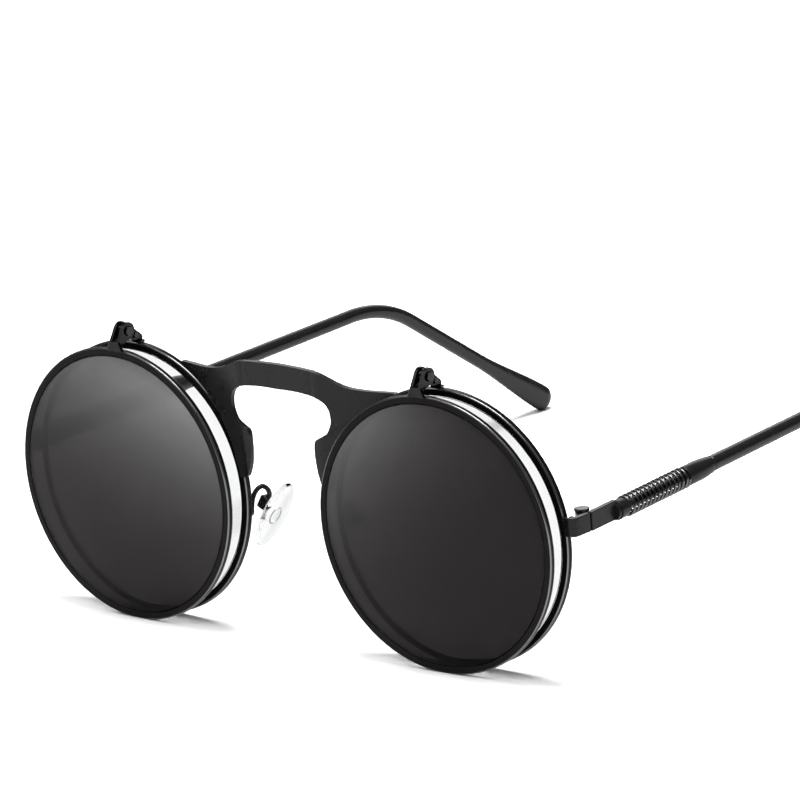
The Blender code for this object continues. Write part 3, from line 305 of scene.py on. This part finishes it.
def read_curve(points, count):
    """Points at even distances along a smooth curve through the given ones: between two of them a cubic,
    whose slope at each is half the step from the point before it to the point after it."""
    points = np.array(points, float)
    ends = np.vstack([2 * points[0] - points[1], points, 2 * points[-1] - points[-2]])
    t = np.linspace(0, 1, CURVE_STEPS, endpoint=False)[:, None, None]
    a, b, c, d = ends[:-3], ends[1:-2], ends[2:-1], ends[3:]
    fine = (2 * b + (c - a) * t + (2 * a - 5 * b + 4 * c - d) * t**2 + (3 * b - a - 3 * c + d) * t**3) / 2
    fine = np.vstack([fine.transpose(1, 0, 2).reshape(-1, points.shape[1]), points[-1:]])
    along = np.concatenate([[0], np.cumsum(np.linalg.norm(np.diff(fine, axis=0), axis=1))])
    even = np.linspace(0, along[-1], count)
    return np.stack([np.interp(even, along, fine[:, i]) for i in range(points.shape[1])], -1)


def bridge_half():
    """Grid over the +X half of the plate: straight lines from the keyhole's edge to the outer edge. Beyond
    the crease it leans back after a short parabola, and one shallow cosine wave is pressed in before it."""
    top = read_curve(np.array(TOP_SHARES) * (HALF_SPACING, RIM_RADIUS), TOP_STEPS)
    keyhole = read_curve(np.array(KEYHOLE_SHARES) * (INNER_GAP, RIM_RADIUS), EDGE_STEPS)
    centre = np.array([HALF_SPACING - RIM_SHIFT, 0])
    met = np.linalg.norm(top - centre, axis=1) > RIM_RADIUS + RIM_CLEAR
    top = top[met]
    first = np.arctan2(*(top[-1] - centre)[::-1])
    last = np.pi - np.arcsin(keyhole[-1, 1] / RIM_RADIUS)
    angle = np.linspace(first, last, EDGE_STEPS - len(top) + 1)[1:, None]
    rim = centre + RIM_RADIUS * np.hstack([np.cos(angle), np.sin(angle)])
    outer = np.vstack([top, rim])
    share = np.linspace(0, 1, PLATE_COLUMNS)[None, :, None]
    flat = keyhole[:, None] * (1 - share) + outer[:, None] * share
    beyond = np.maximum(0, flat[..., 0] - CREASE)
    soft = np.where(beyond < BEND_RUN, beyond**2 / (2 * BEND_RUN), beyond - BEND_RUN / 2)
    bead = np.clip((flat[..., 0] - CREASE + BEAD_WIDTH) / BEAD_WIDTH, 0, 1)
    press = BEAD_DEPTH * (1 - np.cos(2 * np.pi * bead)) / 2
    return np.stack([flat[..., 0], PLATE_FRONT + soft * np.tan(np.radians(BEND)) + press, flat[..., 1]], -1)


half = bridge_half()
mirrored = half[::-1] * (-1, 1, 1)
whole = np.vstack([mirrored[:-1], half])
rows = np.concatenate([whole, (whole + (0, PLATE_THICKNESS, 0))[:, ::-1]], axis=1)
MIDDLE = move(0, EYE_PLACE[1], EYE_PLACE[2]) @ turn("X", TILT)
bridge_mesh = bpy.data.meshes.new("bridge_skin")
bridge_faces = quads(*rows.shape[:2], close_rows=False, close_columns=True, caps=True)
bridge_mesh.from_pydata(carried(MIDDLE, rows).reshape(-1, 3), [], bridge_faces)
clean(bridge_mesh, sharp=30)
bridge = fitted("bridge_skin", bridge_mesh, BLACK_METAL, "front", "bridge")
edge = bridge.modifiers.new("pressed edge", "BEVEL")
edge.width, edge.segments, edge.limit_method, edge.angle_limit = PRESSED_EDGE, 3, "ANGLE", np.radians(50)

# Endpieces and rim locks: an L of strip from rim to hinge, and behind it two half blocks that a small
# screw draws together over the rim's slit. All are tumbled so that no edge is sharp, then plated.
STEEL = finish("dark_plated_steel", (0.060, 0.058, 0.057), (0.10, 0.098, 0.096),
               roughness=0.17, spread=0.12, grain=6000.0, depth=0.0000012, metallic=1.0)


def tumbled(node, body, material, width, segments=2, sharp=30):
    """A copy of a CAD node, merged, its flat faces made whole, and every edge rounded by a small bevel."""
    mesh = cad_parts[node].data.copy()
    mesh.name = f"{node}_skin"
    bm = bmesh.new()
    bm.from_mesh(mesh)
    bmesh.ops.remove_doubles(bm, verts=bm.verts, dist=1e-7)
    bmesh.ops.dissolve_limit(bm, angle_limit=np.radians(1), verts=bm.verts, edges=bm.edges)
    bm.to_mesh(mesh)
    bm.free()
    mesh.shade_smooth()
    mesh.set_sharp_from_angle(angle=np.radians(sharp))
    obj = fitted(mesh.name, mesh, material, body, node)
    edge = obj.modifiers.new("tumbled edge", "BEVEL")
    edge.width, edge.segments, edge.limit_method, edge.angle_limit = width, segments, "ANGLE", np.radians(40)
    edge.harden_normals = True


for side in ("left", "right"):
    tumbled(f"{side}_endpiece", "front", BLACK_METAL, width=0.00009)
    tumbled(f"{side}_lock_upper", "front", BLACK_METAL, width=0.00008)
    tumbled(f"{side}_lock_lower", "front", BLACK_METAL, width=0.00008)
    tumbled(f"{side}_lock_screw", "front", STEEL, width=0.00005)

# Temple hinges: three milled barrels on an upright pin. The pin's knurled head stands proud of the strip,
# and its plating is thin enough on the teeth for the steel to show.
KNURLED = finish("dull_knurled_steel", (0.13, 0.128, 0.125), (0.17, 0.168, 0.165),
                 roughness=0.24, spread=0.10, grain=6000.0, depth=0.0000012, metallic=1.0)
for side in ("left", "right"):
    tumbled(f"{side}_hinge_block", "front", BLACK_METAL, width=0.00006)
    tumbled(f"{side}_hinge_screw", "front", KNURLED, width=0.00011, segments=1)

# Pad arms: bent wire brazed to the back of each rim, looping up and over into a small box. A cross pin
# through the box carries the pad's lug.
ARM_RADIUS, ARM_ROOT_SHARE, ARM_STANDOFF, ARM_RISE = 0.00045, 0.155, 0.0005, 0.0042
ARM_SHARES = ((0.03, 0.28), (0.13, 0.62), (0.35, 0.76), (0.65, 0.66), (0.90, 0.32))
BOX_TOP, BOX_BITE, ARM_STEPS, ARM_SIDES = 0.0016, 0.0002, 90, 20
AWAY = (0.28, 0.95, 0.13)
PAD = move(0.01135, -0.0646733, 0.0231708) @ turn("Y", -26.3) @ turn("X", -8)


def swept(path, radius, sides):
    """A round wire: at each point of the path, a circle in the plane across it. The circle's axes are cross
    products, first with a direction that the wire never takes."""
    heading = np.gradient(path, axis=0)
    heading /= np.linalg.norm(heading, axis=1, keepdims=True)
    first = np.cross(heading, AWAY)
    first /= np.linalg.norm(first, axis=1, keepdims=True)
    second = np.cross(heading, first)
    a = np.linspace(0, 2 * np.pi, sides, endpoint=False)[None, :, None]
    return path[:, None] + radius * (first[:, None] * np.cos(a) + second[:, None] * np.sin(a))


root_angle = np.pi + np.arcsin(ARM_ROOT_SHARE)
mid_radius = RIM_RADIUS - RIM_WIDTH / 2
rear_back = REAR_FRONT + REAR_DEPTH
root = carried(EYE, np.array([mid_radius * np.cos(root_angle), rear_back, mid_radius * np.sin(root_angle)]))
above = carried(PAD, np.array([0, 0, BOX_TOP + ARM_STANDOFF]))
box_top = carried(PAD, np.array([0, 0, BOX_TOP - BOX_BITE]))
out = root + (0, ARM_STANDOFF, 0)
way = [out + (above - out) * a + np.array([0, 0, ARM_RISE * up]) for a, up in ARM_SHARES]
arm_path = read_curve([root, out, *way, above, box_top], ARM_STEPS)
pair("pad_arm", swept(arm_path, ARM_RADIUS, ARM_SIDES), BLACK_METAL, ("front", "front"),
     close_columns=True, caps=True)
for side in ("left", "right"):
    tumbled(f"{side}_pad_box", "front", BLACK_METAL, width=0.00010, segments=3)
    tumbled(f"{side}_pad_screw", "front", STEEL, width=0.00006)

# Nose pads: clear silicone moulded round a small metal core, which is seen as a loop of wire. The face
# towards the nose is full and soft, the back is flatter.
PAD_HALF_LENGTH, PAD_HALF_WIDTH, PAD_FRONT, PAD_REAR = 0.00685, 0.0040, 0.0011, 0.0006
PAD_CENTRE, PAD_TAPER, REACH_POWER, DEPTH_POWER = (-0.0020, 0.0010, -0.0013), 0.06, 0.62, 0.9
PAD_RINGS, PAD_STEPS = 49, 96
SILICONE, _, _ = glass("clear_silicone", (0.945, 0.95, 0.955), ior=1.17, roughness=0.02, smear=0.05)


def pad_skin():
    """A flattened egg: ovals whose reach is a power of the cosine and whose depth is a power of the sine."""
    bow = np.linspace(-np.pi / 2, np.pi / 2, PAD_RINGS)[:, None]
    around = np.linspace(0, 2 * np.pi, PAD_STEPS, endpoint=False)[None, :]
    reach = np.abs(np.cos(bow)) ** REACH_POWER
    deep = np.sign(np.sin(bow)) * np.abs(np.sin(bow)) ** DEPTH_POWER
    x = np.where(deep > 0, PAD_REAR, PAD_FRONT) * deep
    taper = 1 + PAD_TAPER * np.sin(around)
    return PAD_CENTRE + np.stack([x + 0 * around, PAD_HALF_WIDTH * reach * np.cos(around) * taper,
                                  PAD_HALF_LENGTH * reach * np.sin(around)], -1)


pair("nose_pad", carried(PAD, pad_skin()), SILICONE, ("left_pad", "right_pad"),
     close_columns=True, sharp=80)
INSERT_STEEL = finish("bright_insert_steel", (0.55, 0.55, 0.55), (0.66, 0.66, 0.66),
                      roughness=0.22, spread=0.12, grain=6000.0, depth=0.000001, metallic=1.0)
LOOP_HIGH, LOOP_WIDE, LOOP_WIRE, LOOP_STEPS, LOOP_SIDES = 0.0017, 0.0013, 0.00016, 48, 12


def insert_skin():
    """A closed oval loop of wire round the pad's middle: the tube's circle is added to the oval's axes."""
    around = np.linspace(0, 2 * np.pi, LOOP_STEPS, endpoint=False)[:, None]
    a = np.linspace(0, 2 * np.pi, LOOP_SIDES, endpoint=False)[None, :]
    reach = LOOP_WIRE * np.cos(a)
    x = LOOP_WIRE * np.sin(a) + 0 * around
    loop = [x, (LOOP_WIDE + reach) * np.cos(around), (LOOP_HIGH + reach) * np.sin(around)]
    return PAD_CENTRE + np.stack(loop, -1)


pair("pad_insert", carried(PAD, insert_skin()), INSERT_STEEL, ("left_pad", "right_pad"),
     close_rows=True, close_columns=True, sharp=80)

# Flip hinges: a foot with one knuckle soldered on top of each rear rim, crossed by a stop pin, and the
# bracket with two lobes on the flip rim. One screw, with its head at the +X end, joins them. They are plated
# over polished steel, so that flats look nearly black and edges glint.
HINGE_BLACK = finish("black_over_polish", (0.030, 0.0295, 0.029), (0.045, 0.0445, 0.044),
                     roughness=0.13, spread=0.08, grain=3000.0, depth=0.0000016, metallic=1.0)
HINGE_STEEL = finish("dark_polished_steel", (0.050, 0.049, 0.048), (0.075, 0.074, 0.073),
                     roughness=0.11, spread=0.08, grain=3000.0, depth=0.0000016, metallic=1.0)
for side in ("left", "right"):
    tumbled(f"{side}_flip_base", "front", HINGE_BLACK, width=0.00009, segments=3)
    tumbled(f"{side}_flip_stop", "front", HINGE_STEEL, width=0.00010, segments=3)
    tumbled(f"{side}_flip_screw", "front", HINGE_STEEL, width=0.00013, segments=3)
    tumbled(f"{side}_flip_bracket", f"{side}_flip", HINGE_BLACK, width=0.00010, segments=3)

# Flip rims: the same profiled wire as the rear rims, a little thinner, brazed closed and plated alike.
# Each hangs on its bracket and stands in front of the rear rim.
FLIP_DEPTH = 0.0012
whole_turn = np.linspace(0, 2 * np.pi, RIM_STEPS, endpoint=False)
flip_rim = revolved(rim_profile(0, FLIP_DEPTH), whole_turn)
pair("flip_rim", carried(EYE, flip_rim), RIM_METAL, ("left_flip", "right_flip"),
     close_rows=True, close_columns=True, marks=EDGE_MARKS)

# Dark lenses: grey lenses, domed like the clear ones, with a reflecting coat laid out as a painted sheen: the
# coat and a
#  lighter painted tint are strongest towards the top and the nose and fade out to the lower outer side.
# The seat values paint a shade line: the lens darkens to near black where it meets its rim.
DARK_THICKNESS, SEAT_SHADE_START, SEAT_SHADE_END, SEAT_SHADE_COAT = 0.0011, 0.0243, 0.02455, 0.1
# The coat's layout and the lighter tint are painted sheen, strongest towards the top and the nose.
SHEEN_GROWTH, SHEEN_LEAN, SHEEN_AMOUNT, SHEEN_MIDDLE = 0.0105, 0.46, 0.0405, 1.7
PLAIN_TINT, PAINTED_SHEEN_TINT = (0.0180, 0.0146, 0.0154, 1), (0.036, 0.0300, 0.0315, 1)
SEAT_SHADE_TINT = (0.0015, 0.0013, 0.0013, 1)
DARK_GLASS, dark_tree, dark = glass(
    "dark_lens", (0.020, 0.0160, 0.0168), ior=1.20, roughness=0.0, smear=0.001)


def coat_and_painted_sheen():
    """How strong the coat and the painted sheen are: the exponential of the height, and of part of the way
    inwards, times a straight fall with X. It ends at a black line of painted shade where the lens goes into
    its groove."""
    group, _, out = new_group("lens_coat_and_painted_sheen", [], [("Coat", "Float"), ("Colour", "Color")])
    here = add(group, "ShaderNodeTexCoord").outputs["Object"]
    place = add(group, "ShaderNodeSeparateXYZ", {"Vector": here}).outputs
    outward = add(group, "ShaderNodeMath", {0: place["X"]}, operation="ABSOLUTE").outputs[0]
    inward = add(group, "ShaderNodeMath", {0: HALF_SPACING, 1: outward}, operation="SUBTRACT").outputs[0]
    upward = add(group, "ShaderNodeMath", {0: place["Z"], 1: EYE_PLACE[2]}, operation="SUBTRACT").outputs[0]
    both = add(group, "ShaderNodeMath", {0: inward, 1: SHEEN_LEAN, 2: upward},
               operation="MULTIPLY_ADD").outputs[0]
    steps = add(group, "ShaderNodeMath", {0: both, 1: 1 / SHEEN_GROWTH}, operation="MULTIPLY").outputs[0]
    growth = add(group, "ShaderNodeMath", {0: steps}, operation="EXPONENT").outputs[0]
    side = add(group, "ShaderNodeMath", {0: place["X"], 1: -1.0 / HALF_SPACING, 2: SHEEN_MIDDLE},
               operation="MULTIPLY_ADD")
    amount = add(group, "ShaderNodeMath", {0: growth, 1: side.outputs[0]}, operation="MULTIPLY").outputs[0]
    across = add(group, "ShaderNodeMath", {0: inward, 1: inward}, operation="MULTIPLY").outputs[0]
    squared = add(group, "ShaderNodeMath", {0: upward, 1: upward, 2: across},
                  operation="MULTIPLY_ADD").outputs[0]
    radius = add(group, "ShaderNodeMath", {0: squared}, operation="SQRT").outputs[0]
    # Painted shade: 1 on the open lens, falling near the rim, where the coat goes and the colour turns black.
    clear = add(group, "ShaderNodeMapRange", {
        "Value": radius, "From Min": SEAT_SHADE_START, "From Max": SEAT_SHADE_END, "To Min": 1.0,
        "To Max": SEAT_SHADE_COAT,
    }, interpolation_type="SMOOTHSTEP").outputs["Result"]
    kept = add(group, "ShaderNodeMath", {0: amount, 1: clear}, operation="MULTIPLY").outputs[0]
    coat = add(group, "ShaderNodeMath", {0: kept, 1: SHEEN_AMOUNT}, operation="MULTIPLY",
               use_clamp=True).outputs[0]
    # A lighter tint painted where the sheen falls.
    tint = add(group, "ShaderNodeMix", {"Factor": coat}, data_type="RGBA")
    tint.inputs["A"].default_value = PLAIN_TINT
    tint.inputs["B"].default_value = PAINTED_SHEEN_TINT
    group.links.new(coat, out.inputs["Coat"])
    # The painted shade line: near black where the lens goes into its groove.
    edge = add(group, "ShaderNodeMix", {"Factor": clear}, data_type="RGBA")
    edge.inputs["A"].default_value = SEAT_SHADE_TINT
    group.links.new(tint.outputs["Result"], edge.inputs["B"])
    group.links.new(edge.outputs["Result"], out.inputs["Colour"])
    return group


# The coat and the tint of the painted sheen go into the dark lens's shader.
sheen_mask = dark_tree.nodes.new("ShaderNodeGroup")
sheen_mask.node_tree = coat_and_painted_sheen()
dark_tree.links.new(sheen_mask.outputs["Coat"], dark.inputs["Coat Weight"])
dark_tree.links.new(sheen_mask.outputs["Colour"], dark.inputs["Base Color"])
dark.inputs["Coat IOR"].default_value = 3.0
dark.inputs["Coat Roughness"].default_value = 0.12
dark_lens = revolved(lens_profile(0, FLIP_DEPTH, DARK_THICKNESS), full_turn)
pair("dark_lens", carried(EYE, dark_lens), DARK_GLASS, ("left_flip", "right_flip"),
     close_rows=True)

# Temple strips: a flat strip each, with the middle hinge barrel inside its front end and a round neck at
# the back for the ferrule.
for side in ("left", "right"):
    tumbled(f"{side}_temple_plate", f"{side}_temple", BLACK_METAL, width=0.00008)

# Ferrules and rod: two turned sleeves, the front one pushed on the strip's neck, the rear one tapered to the
# tip. A steel rod joins them inside the spring and goes on into the plastic.
HINGE_PLACE, TEMPLE_SPLAY = (0.06263, -0.0631214, 0.0296208), 2.1
BAR_PLACE, BAR_SLOPE = (0.00217, 0, -0.00035), 2
BAR = move(*HINGE_PLACE) @ turn("Z", TEMPLE_SPLAY) @ move(*BAR_PLACE) @ turn("X", BAR_SLOPE)
ROD_RADIUS, ROD_FIT, ROD_START, ROD_END = 0.0009, 0.00004, 0.0106, 0.051
FRONT_RADIUS, REAR_RADIUS, FERRULE_ROUND, FERRULE_EDGE = 0.0018, 0.0019, 0.00026, 0.0001
PLATE_END, SPRING_START, SPRING_END, TIP_START = 0.00705, 0.0094, 0.0277, 0.0360
TIP_FRONT_RADIUS, TIP_LIP, TIP_GAP = 0.00146, 0.000125, 0.0001
SLEEVE_STEPS, TAPER_STEPS, TAPER_EVEN, TAPER_CURVED = 64, 14, 0.2, 0.8
TEMPLES = ("left_temple", "right_temple")
turned_round = np.linspace(0, 2 * np.pi, SLEEVE_STEPS, endpoint=False)
inside = ROD_RADIUS + ROD_FIT
front_sleeve = [
    (inside, PLATE_END), (FRONT_RADIUS - FERRULE_EDGE, PLATE_END),
    (FRONT_RADIUS, PLATE_END + FERRULE_EDGE),
    *corner_arc((FRONT_RADIUS - FERRULE_ROUND, SPRING_START - FERRULE_ROUND), FERRULE_ROUND, 0, 90),
    (inside, SPRING_START),
]
shoulder = (SPRING_END + TIP_START) / 2
run = np.linspace(0, 1, TAPER_STEPS)
narrowing = TAPER_EVEN * run + TAPER_CURVED * run * run
taper = REAR_RADIUS + (TIP_FRONT_RADIUS + TIP_LIP - REAR_RADIUS) * narrowing
rear_sleeve = [
    (inside, SPRING_END),
    *corner_arc((REAR_RADIUS - FERRULE_ROUND, SPRING_END + FERRULE_ROUND), FERRULE_ROUND, -90, 0),
    *zip(taper, shoulder + (TIP_START - TIP_GAP - 2 * TIP_LIP - shoulder) * run),
    *corner_arc((TIP_FRONT_RADIUS, TIP_START - TIP_GAP - TIP_LIP), TIP_LIP, 0, 90, steps=4),
    (inside, TIP_START - TIP_GAP),
]
core = [(0, ROD_START), (ROD_RADIUS, ROD_START), (ROD_RADIUS, ROD_END), (0, ROD_END)]
for node, profile, closed, material, slot in (
    ("front_ferrule", front_sleeve, True, BLACK_METAL, "black_metal"),
    ("rear_ferrule", rear_sleeve, True, BLACK_METAL, "black_metal"),
    ("core_rod", core, False, STEEL, "dark_steel"),
):
    skin = carried(BAR, revolved(profile, turned_round))
    pair(node, skin, material, TEMPLES, close_rows=True, close_columns=closed)

# Temple springs: black wire wound round the rod between the ferrules. The turns stand a little apart, and
# the end coils are closed against the ferrules.
SPRING_RADIUS, WIRE_RADIUS, TURNS, CLOSED_TURN = 0.00204, 0.00027, 15, 0.6
TURN_STEPS, WIRE_SIDES = 40, 12


def spring_skin():
    """A helix whose angle grows evenly, and whose climb fades in and out over part of a turn at the ends."""
    radius = SPRING_RADIUS - WIRE_RADIUS
    turns = np.linspace(0, TURNS, TURN_STEPS * TURNS)
    climb = np.cumsum(np.clip(np.minimum(turns, TURNS - turns) / CLOSED_TURN, 0, 1))
    first, last = SPRING_START + WIRE_RADIUS, SPRING_END - WIRE_RADIUS
    along = first + (last - first) * (climb - climb[0]) / (climb[-1] - climb[0])
    angle = 2 * np.pi * turns
    path = np.stack([radius * np.cos(angle), along, radius * np.sin(angle)], -1)
    heading = np.gradient(path, axis=0)
    heading /= np.linalg.norm(heading, axis=1, keepdims=True)
    outwards = np.stack([np.cos(angle), 0 * angle, np.sin(angle)], -1)
    second = np.cross(heading, outwards)
    a = np.linspace(0, 2 * np.pi, WIRE_SIDES, endpoint=False)[None, :, None]
    return path[:, None] + WIRE_RADIUS * (outwards[:, None] * np.cos(a) + second[:, None] * np.sin(a))


SPRING_STEEL = finish("black_spring_wire", (0.16, 0.157, 0.154), (0.21, 0.207, 0.203),
                      roughness=0.16, spread=0.10, grain=6000.0, depth=0.0000010, metallic=1.0)
pair("temple_spring", carried(BAR, spring_skin()), SPRING_STEEL, TEMPLES, close_columns=True,
     caps=True)

# Temple tips: black cellulose plastic, round where it leaves the ferrule, bent down behind the ear and
# swelling to a flat rounded end, tumble-polished.
TIP_RADIUS, SEAM_RUN, SEAM_DEPTH = 0.00133, 0.0002, 0.00022
BEND_START, EAR_RADIUS, EAR_TURN, EAR_ANGLE = 0.0831, 0.029, np.radians(36), np.radians(34)
PADDLE_LENGTH, PADDLE_ROUND, PADDLE_HIGH, PADDLE_WIDE = 0.022, 0.0022, 0.0025, 0.0015
SHANK_STEPS, EAR_STEPS, LEG_STEPS, CAP_STEPS, TIP_SIDES = 24, 32, 56, 16, 40
TIP_PLASTIC = finish("black_tip_plastic", (0.0115, 0.0112, 0.0110), (0.015, 0.0148, 0.0145),
                     roughness=0.22, spread=0.08, grain=1400.0, depth=0.0000014)


def tip_skin():
    """Ovals carried along a line that is straight, turns through an arc, runs straight and ends in a dome."""
    shank = np.linspace(TIP_START + 2 * SEAM_RUN, BEND_START, SHANK_STEPS)[:-1]
    straight = np.concatenate([[TIP_START, TIP_START + SEAM_RUN], shank])
    a = np.linspace(0, EAR_TURN, EAR_STEPS)
    end = np.array([BEND_START + EAR_RADIUS * np.sin(EAR_TURN), -EAR_RADIUS * (1 - np.cos(EAR_TURN))])
    slope = np.radians(BAR_SLOPE)
    height = HINGE_PLACE[2] + BAR_PLACE[2] + end[0] * np.sin(slope) + end[1] * np.cos(slope)
    rest = np.hypot(PADDLE_ROUND * np.sin(EAR_ANGLE), PADDLE_HIGH * np.cos(EAR_ANGLE))
    leg = (height - rest) / np.sin(EAR_ANGLE)
    down = np.linspace(0, leg, LEG_STEPS)[1:]
    swell = np.clip((down - leg + PADDLE_LENGTH) / PADDLE_LENGTH, 0, 1)
    swell = swell * swell * (3 - 2 * swell)
    cap = np.sin(np.linspace(0, np.pi / 2, CAP_STEPS)[1:])
    shrink = np.sqrt(1 - cap * cap)
    leg_all = np.concatenate([down, leg + PADDLE_ROUND * cap])
    along = np.concatenate([
        straight, BEND_START + EAR_RADIUS * np.sin(a), end[0] + leg_all * np.cos(EAR_TURN)])
    up = np.concatenate([0 * straight, -EAR_RADIUS * (1 - np.cos(a)), end[1] - leg_all * np.sin(EAR_TURN)])
    tilt = np.concatenate([0 * straight, a, EAR_TURN + 0 * leg_all])
    open_share = np.concatenate([0 * straight, 0 * a, swell, 1 + 0 * cap])
    scale = np.concatenate([1 + 0 * straight, 1 + 0 * a, 1 + 0 * down, shrink])
    ahead = np.clip((BEND_START - along) / (BEND_START - TIP_START), 0, 1)
    radius = TIP_RADIUS + (TIP_FRONT_RADIUS - TIP_RADIUS) * ahead
    radius -= SEAM_DEPTH * np.clip(1 - (along - TIP_START) / SEAM_RUN, 0, 1)
    wide = (radius + (PADDLE_WIDE - radius) * open_share) * scale
    high = (radius + (PADDLE_HIGH - radius) * open_share) * scale
    t = np.linspace(0, 2 * np.pi, TIP_SIDES, endpoint=False)[None, :]
    rise = high[:, None] * np.sin(t)
    return np.stack([wide[:, None] * np.cos(t), along[:, None] + rise * np.sin(tilt)[:, None],
                     up[:, None] + rise * np.cos(tilt)[:, None]], -1)


pair("temple_tip", carried(BAR, tip_skin()), TIP_PLASTIC, TEMPLES, close_columns=True,
     caps=True, sharp=60)

# Studio: a white floor that the sunglasses stand on. Seen directly its colour is raised, and through glass
# a little, so that it is white but for the shadow close under the rims and tips. The light that it sends to
# the sunglasses is plain paper's. Far from them, where no lamp reaches, it shows white of its own.
FLOOR_HALF, PAPER, PAPER_SEEN, GLASS_SHARE = 30.0, (0.82, 0.82, 0.82, 1), (1.7, 1.7, 1.7, 1), 0.08
FAR_START, FAR_END = 0.35, 1.3
corners = [(x * FLOOR_HALF, y * FLOOR_HALF, 0) for x, y in ((-1, -1), (1, -1), (1, 1), (-1, 1))]
floor_mesh = bpy.data.meshes.new("floor")
floor_mesh.from_pydata(corners, [], [(0, 1, 2, 3)])
floor = bpy.data.objects.new("floor", floor_mesh)
bpy.context.scene.collection.objects.link(floor)
paper = bpy.data.materials.new("white_floor")
paper.use_nodes = True
tree = paper.node_tree
tree.nodes.remove(tree.nodes["Principled BSDF"])
ray = add(tree, "ShaderNodeLightPath").outputs
part_seen = add(tree, "ShaderNodeMath", {0: ray["Is Transmission Ray"], 1: GLASS_SHARE},
                operation="MULTIPLY")
seen = add(tree, "ShaderNodeMath", {0: ray["Is Camera Ray"], 1: part_seen.outputs[0]},
           operation="MAXIMUM")
shade = add(tree, "ShaderNodeMix", {"Factor": seen.outputs[0]}, data_type="RGBA")
shade.inputs["A"].default_value = PAPER
shade.inputs["B"].default_value = PAPER_SEEN
matt = add(tree, "ShaderNodeBsdfDiffuse", {"Color": shade.outputs["Result"]})
here = add(tree, "ShaderNodeTexCoord").outputs["Object"]
from_middle = add(tree, "ShaderNodeVectorMath", {0: here}, operation="LENGTH")
far = add(tree, "ShaderNodeMapRange", {
    "Value": from_middle.outputs["Value"], "From Min": FAR_START, "From Max": FAR_END,
}, interpolation_type="SMOOTHSTEP")
far_glow = add(tree, "ShaderNodeMath", {0: far.outputs["Result"], 1: seen.outputs[0]}, operation="MULTIPLY")
white = add(tree, "ShaderNodeEmission", {"Color": (1, 1, 1, 1), "Strength": far_glow.outputs[0]})
both = add(tree, "ShaderNodeAddShader", {0: white.outputs[0], 1: matt.outputs[0]})
tree.links.new(both.outputs[0], tree.nodes["Material Output"].inputs["Surface"])
floor_mesh.materials.append(paper)

# Light: a dim room that is brighter overhead, one softbox straight above, which draws the shadow close under
# the rims, and three weak ones: in front on the -X side, low behind, and a strip above the front.
SKY_LOW, SKY_HIGH, AIM = 0.05, 0.16, (0, -0.03, 0.03)
world = bpy.data.worlds.new("room")
bpy.context.scene.world = world
world.use_nodes = True
sky = world.node_tree
direction = add(sky, "ShaderNodeTexCoord").outputs["Generated"]
high = add(sky, "ShaderNodeSeparateXYZ", {"Vector": direction}).outputs["Z"]
glow = add(sky, "ShaderNodeMapRange", {
    "Value": high, "From Min": 0.0, "From Max": 1.0, "To Min": SKY_LOW, "To Max": SKY_HIGH,
}, interpolation_type="SMOOTHSTEP")
sky.nodes["Background"].inputs["Color"].default_value = (1, 1, 1, 1)
ray = add(sky, "ShaderNodeLightPath").outputs
white_back = add(sky, "ShaderNodeMath", {0: ray["Is Camera Ray"], 1: ray["Is Transmission Ray"]},
                 operation="MAXIMUM")
room = add(sky, "ShaderNodeMath", {0: white_back.outputs[0], 1: glow.outputs["Result"]},
           operation="MAXIMUM")
sky.links.new(room.outputs[0], sky.nodes["Background"].inputs["Strength"])


def softbox(name, place, aim, wide, high, power):
    """A rectangular lamp at a place, turned so that its -Z looks at the aim, its wide side level."""
    lamp = bpy.data.lights.new(name, "AREA")
    lamp.shape, lamp.size, lamp.size_y, lamp.energy = "RECTANGLE", wide, high, power
    obj = bpy.data.objects.new(name, lamp)
    bpy.context.scene.collection.objects.link(obj)
    back = np.array(place, float) - aim
    back /= np.linalg.norm(back)
    side_on = np.cross((0.001, 0, 1), back)
    side_on /= np.linalg.norm(side_on)
    matrix = np.eye(4)
    matrix[:3, :3] = np.stack([side_on, np.cross(back, side_on), back], -1)
    matrix[:3, 3] = place
    obj.matrix_world = Matrix(matrix)


softbox("overhead", (0, -0.03, 1.15), AIM, wide=0.55, high=0.55, power=12)
softbox("key", (-0.7, -0.5, 0.9), AIM, wide=0.6, high=0.6, power=1.2)
softbox("back", (-0.6, 0.9, 0.5), (0, 0, 0.03), wide=0.6, high=0.6, power=1.6)
softbox("front_strip", (0.05, -0.62, 0.8), (0, -0.05, 0.03), wide=0.9, high=0.16, power=1.3)

# Camera: the photograph's own view, a long lens from the +X side, a little above and a little rolled. The
# focal length is in pixels of an 800-pixel picture, and turned into millimetres on a 36 mm sensor.
YAW, PITCH, ROLL, DISTANCE = np.radians(40.95), np.radians(15.17), np.radians(-4.0), 1.54434
FOCAL, PICTURE, SENSOR = 8486.58, 800, 36
OFF_CENTRE, FIT_ORIGIN = (0.02245, 0.01941), (0, -0.0743512, 0.02659)
back = np.array([np.sin(YAW) * np.cos(PITCH), -np.cos(YAW) * np.cos(PITCH), np.sin(PITCH)])
level = np.cross((0, 0, 1), back)
level /= np.linalg.norm(level)
upright = np.cross(back, level)
across = np.cos(ROLL) * level + np.sin(ROLL) * upright
upward_axis = -np.sin(ROLL) * level + np.cos(ROLL) * upright
place = across * OFF_CENTRE[0] + upward_axis * OFF_CENTRE[1] + back * DISTANCE + FIT_ORIGIN
lens = bpy.data.cameras.new("camera")
lens.lens, lens.sensor_width, lens.clip_start, lens.clip_end = FOCAL * SENSOR / PICTURE, SENSOR, 0.05, 100
camera = bpy.data.objects.new("camera", lens)
bpy.context.scene.collection.objects.link(camera)
pose = np.eye(4)
pose[:3, :3] = np.stack([across, upward_axis, back], -1)
pose[:3, 3] = place
camera.matrix_world = Matrix(pose)
bpy.context.scene.camera = camera
bpy.context.scene.view_settings.view_transform = "Standard"
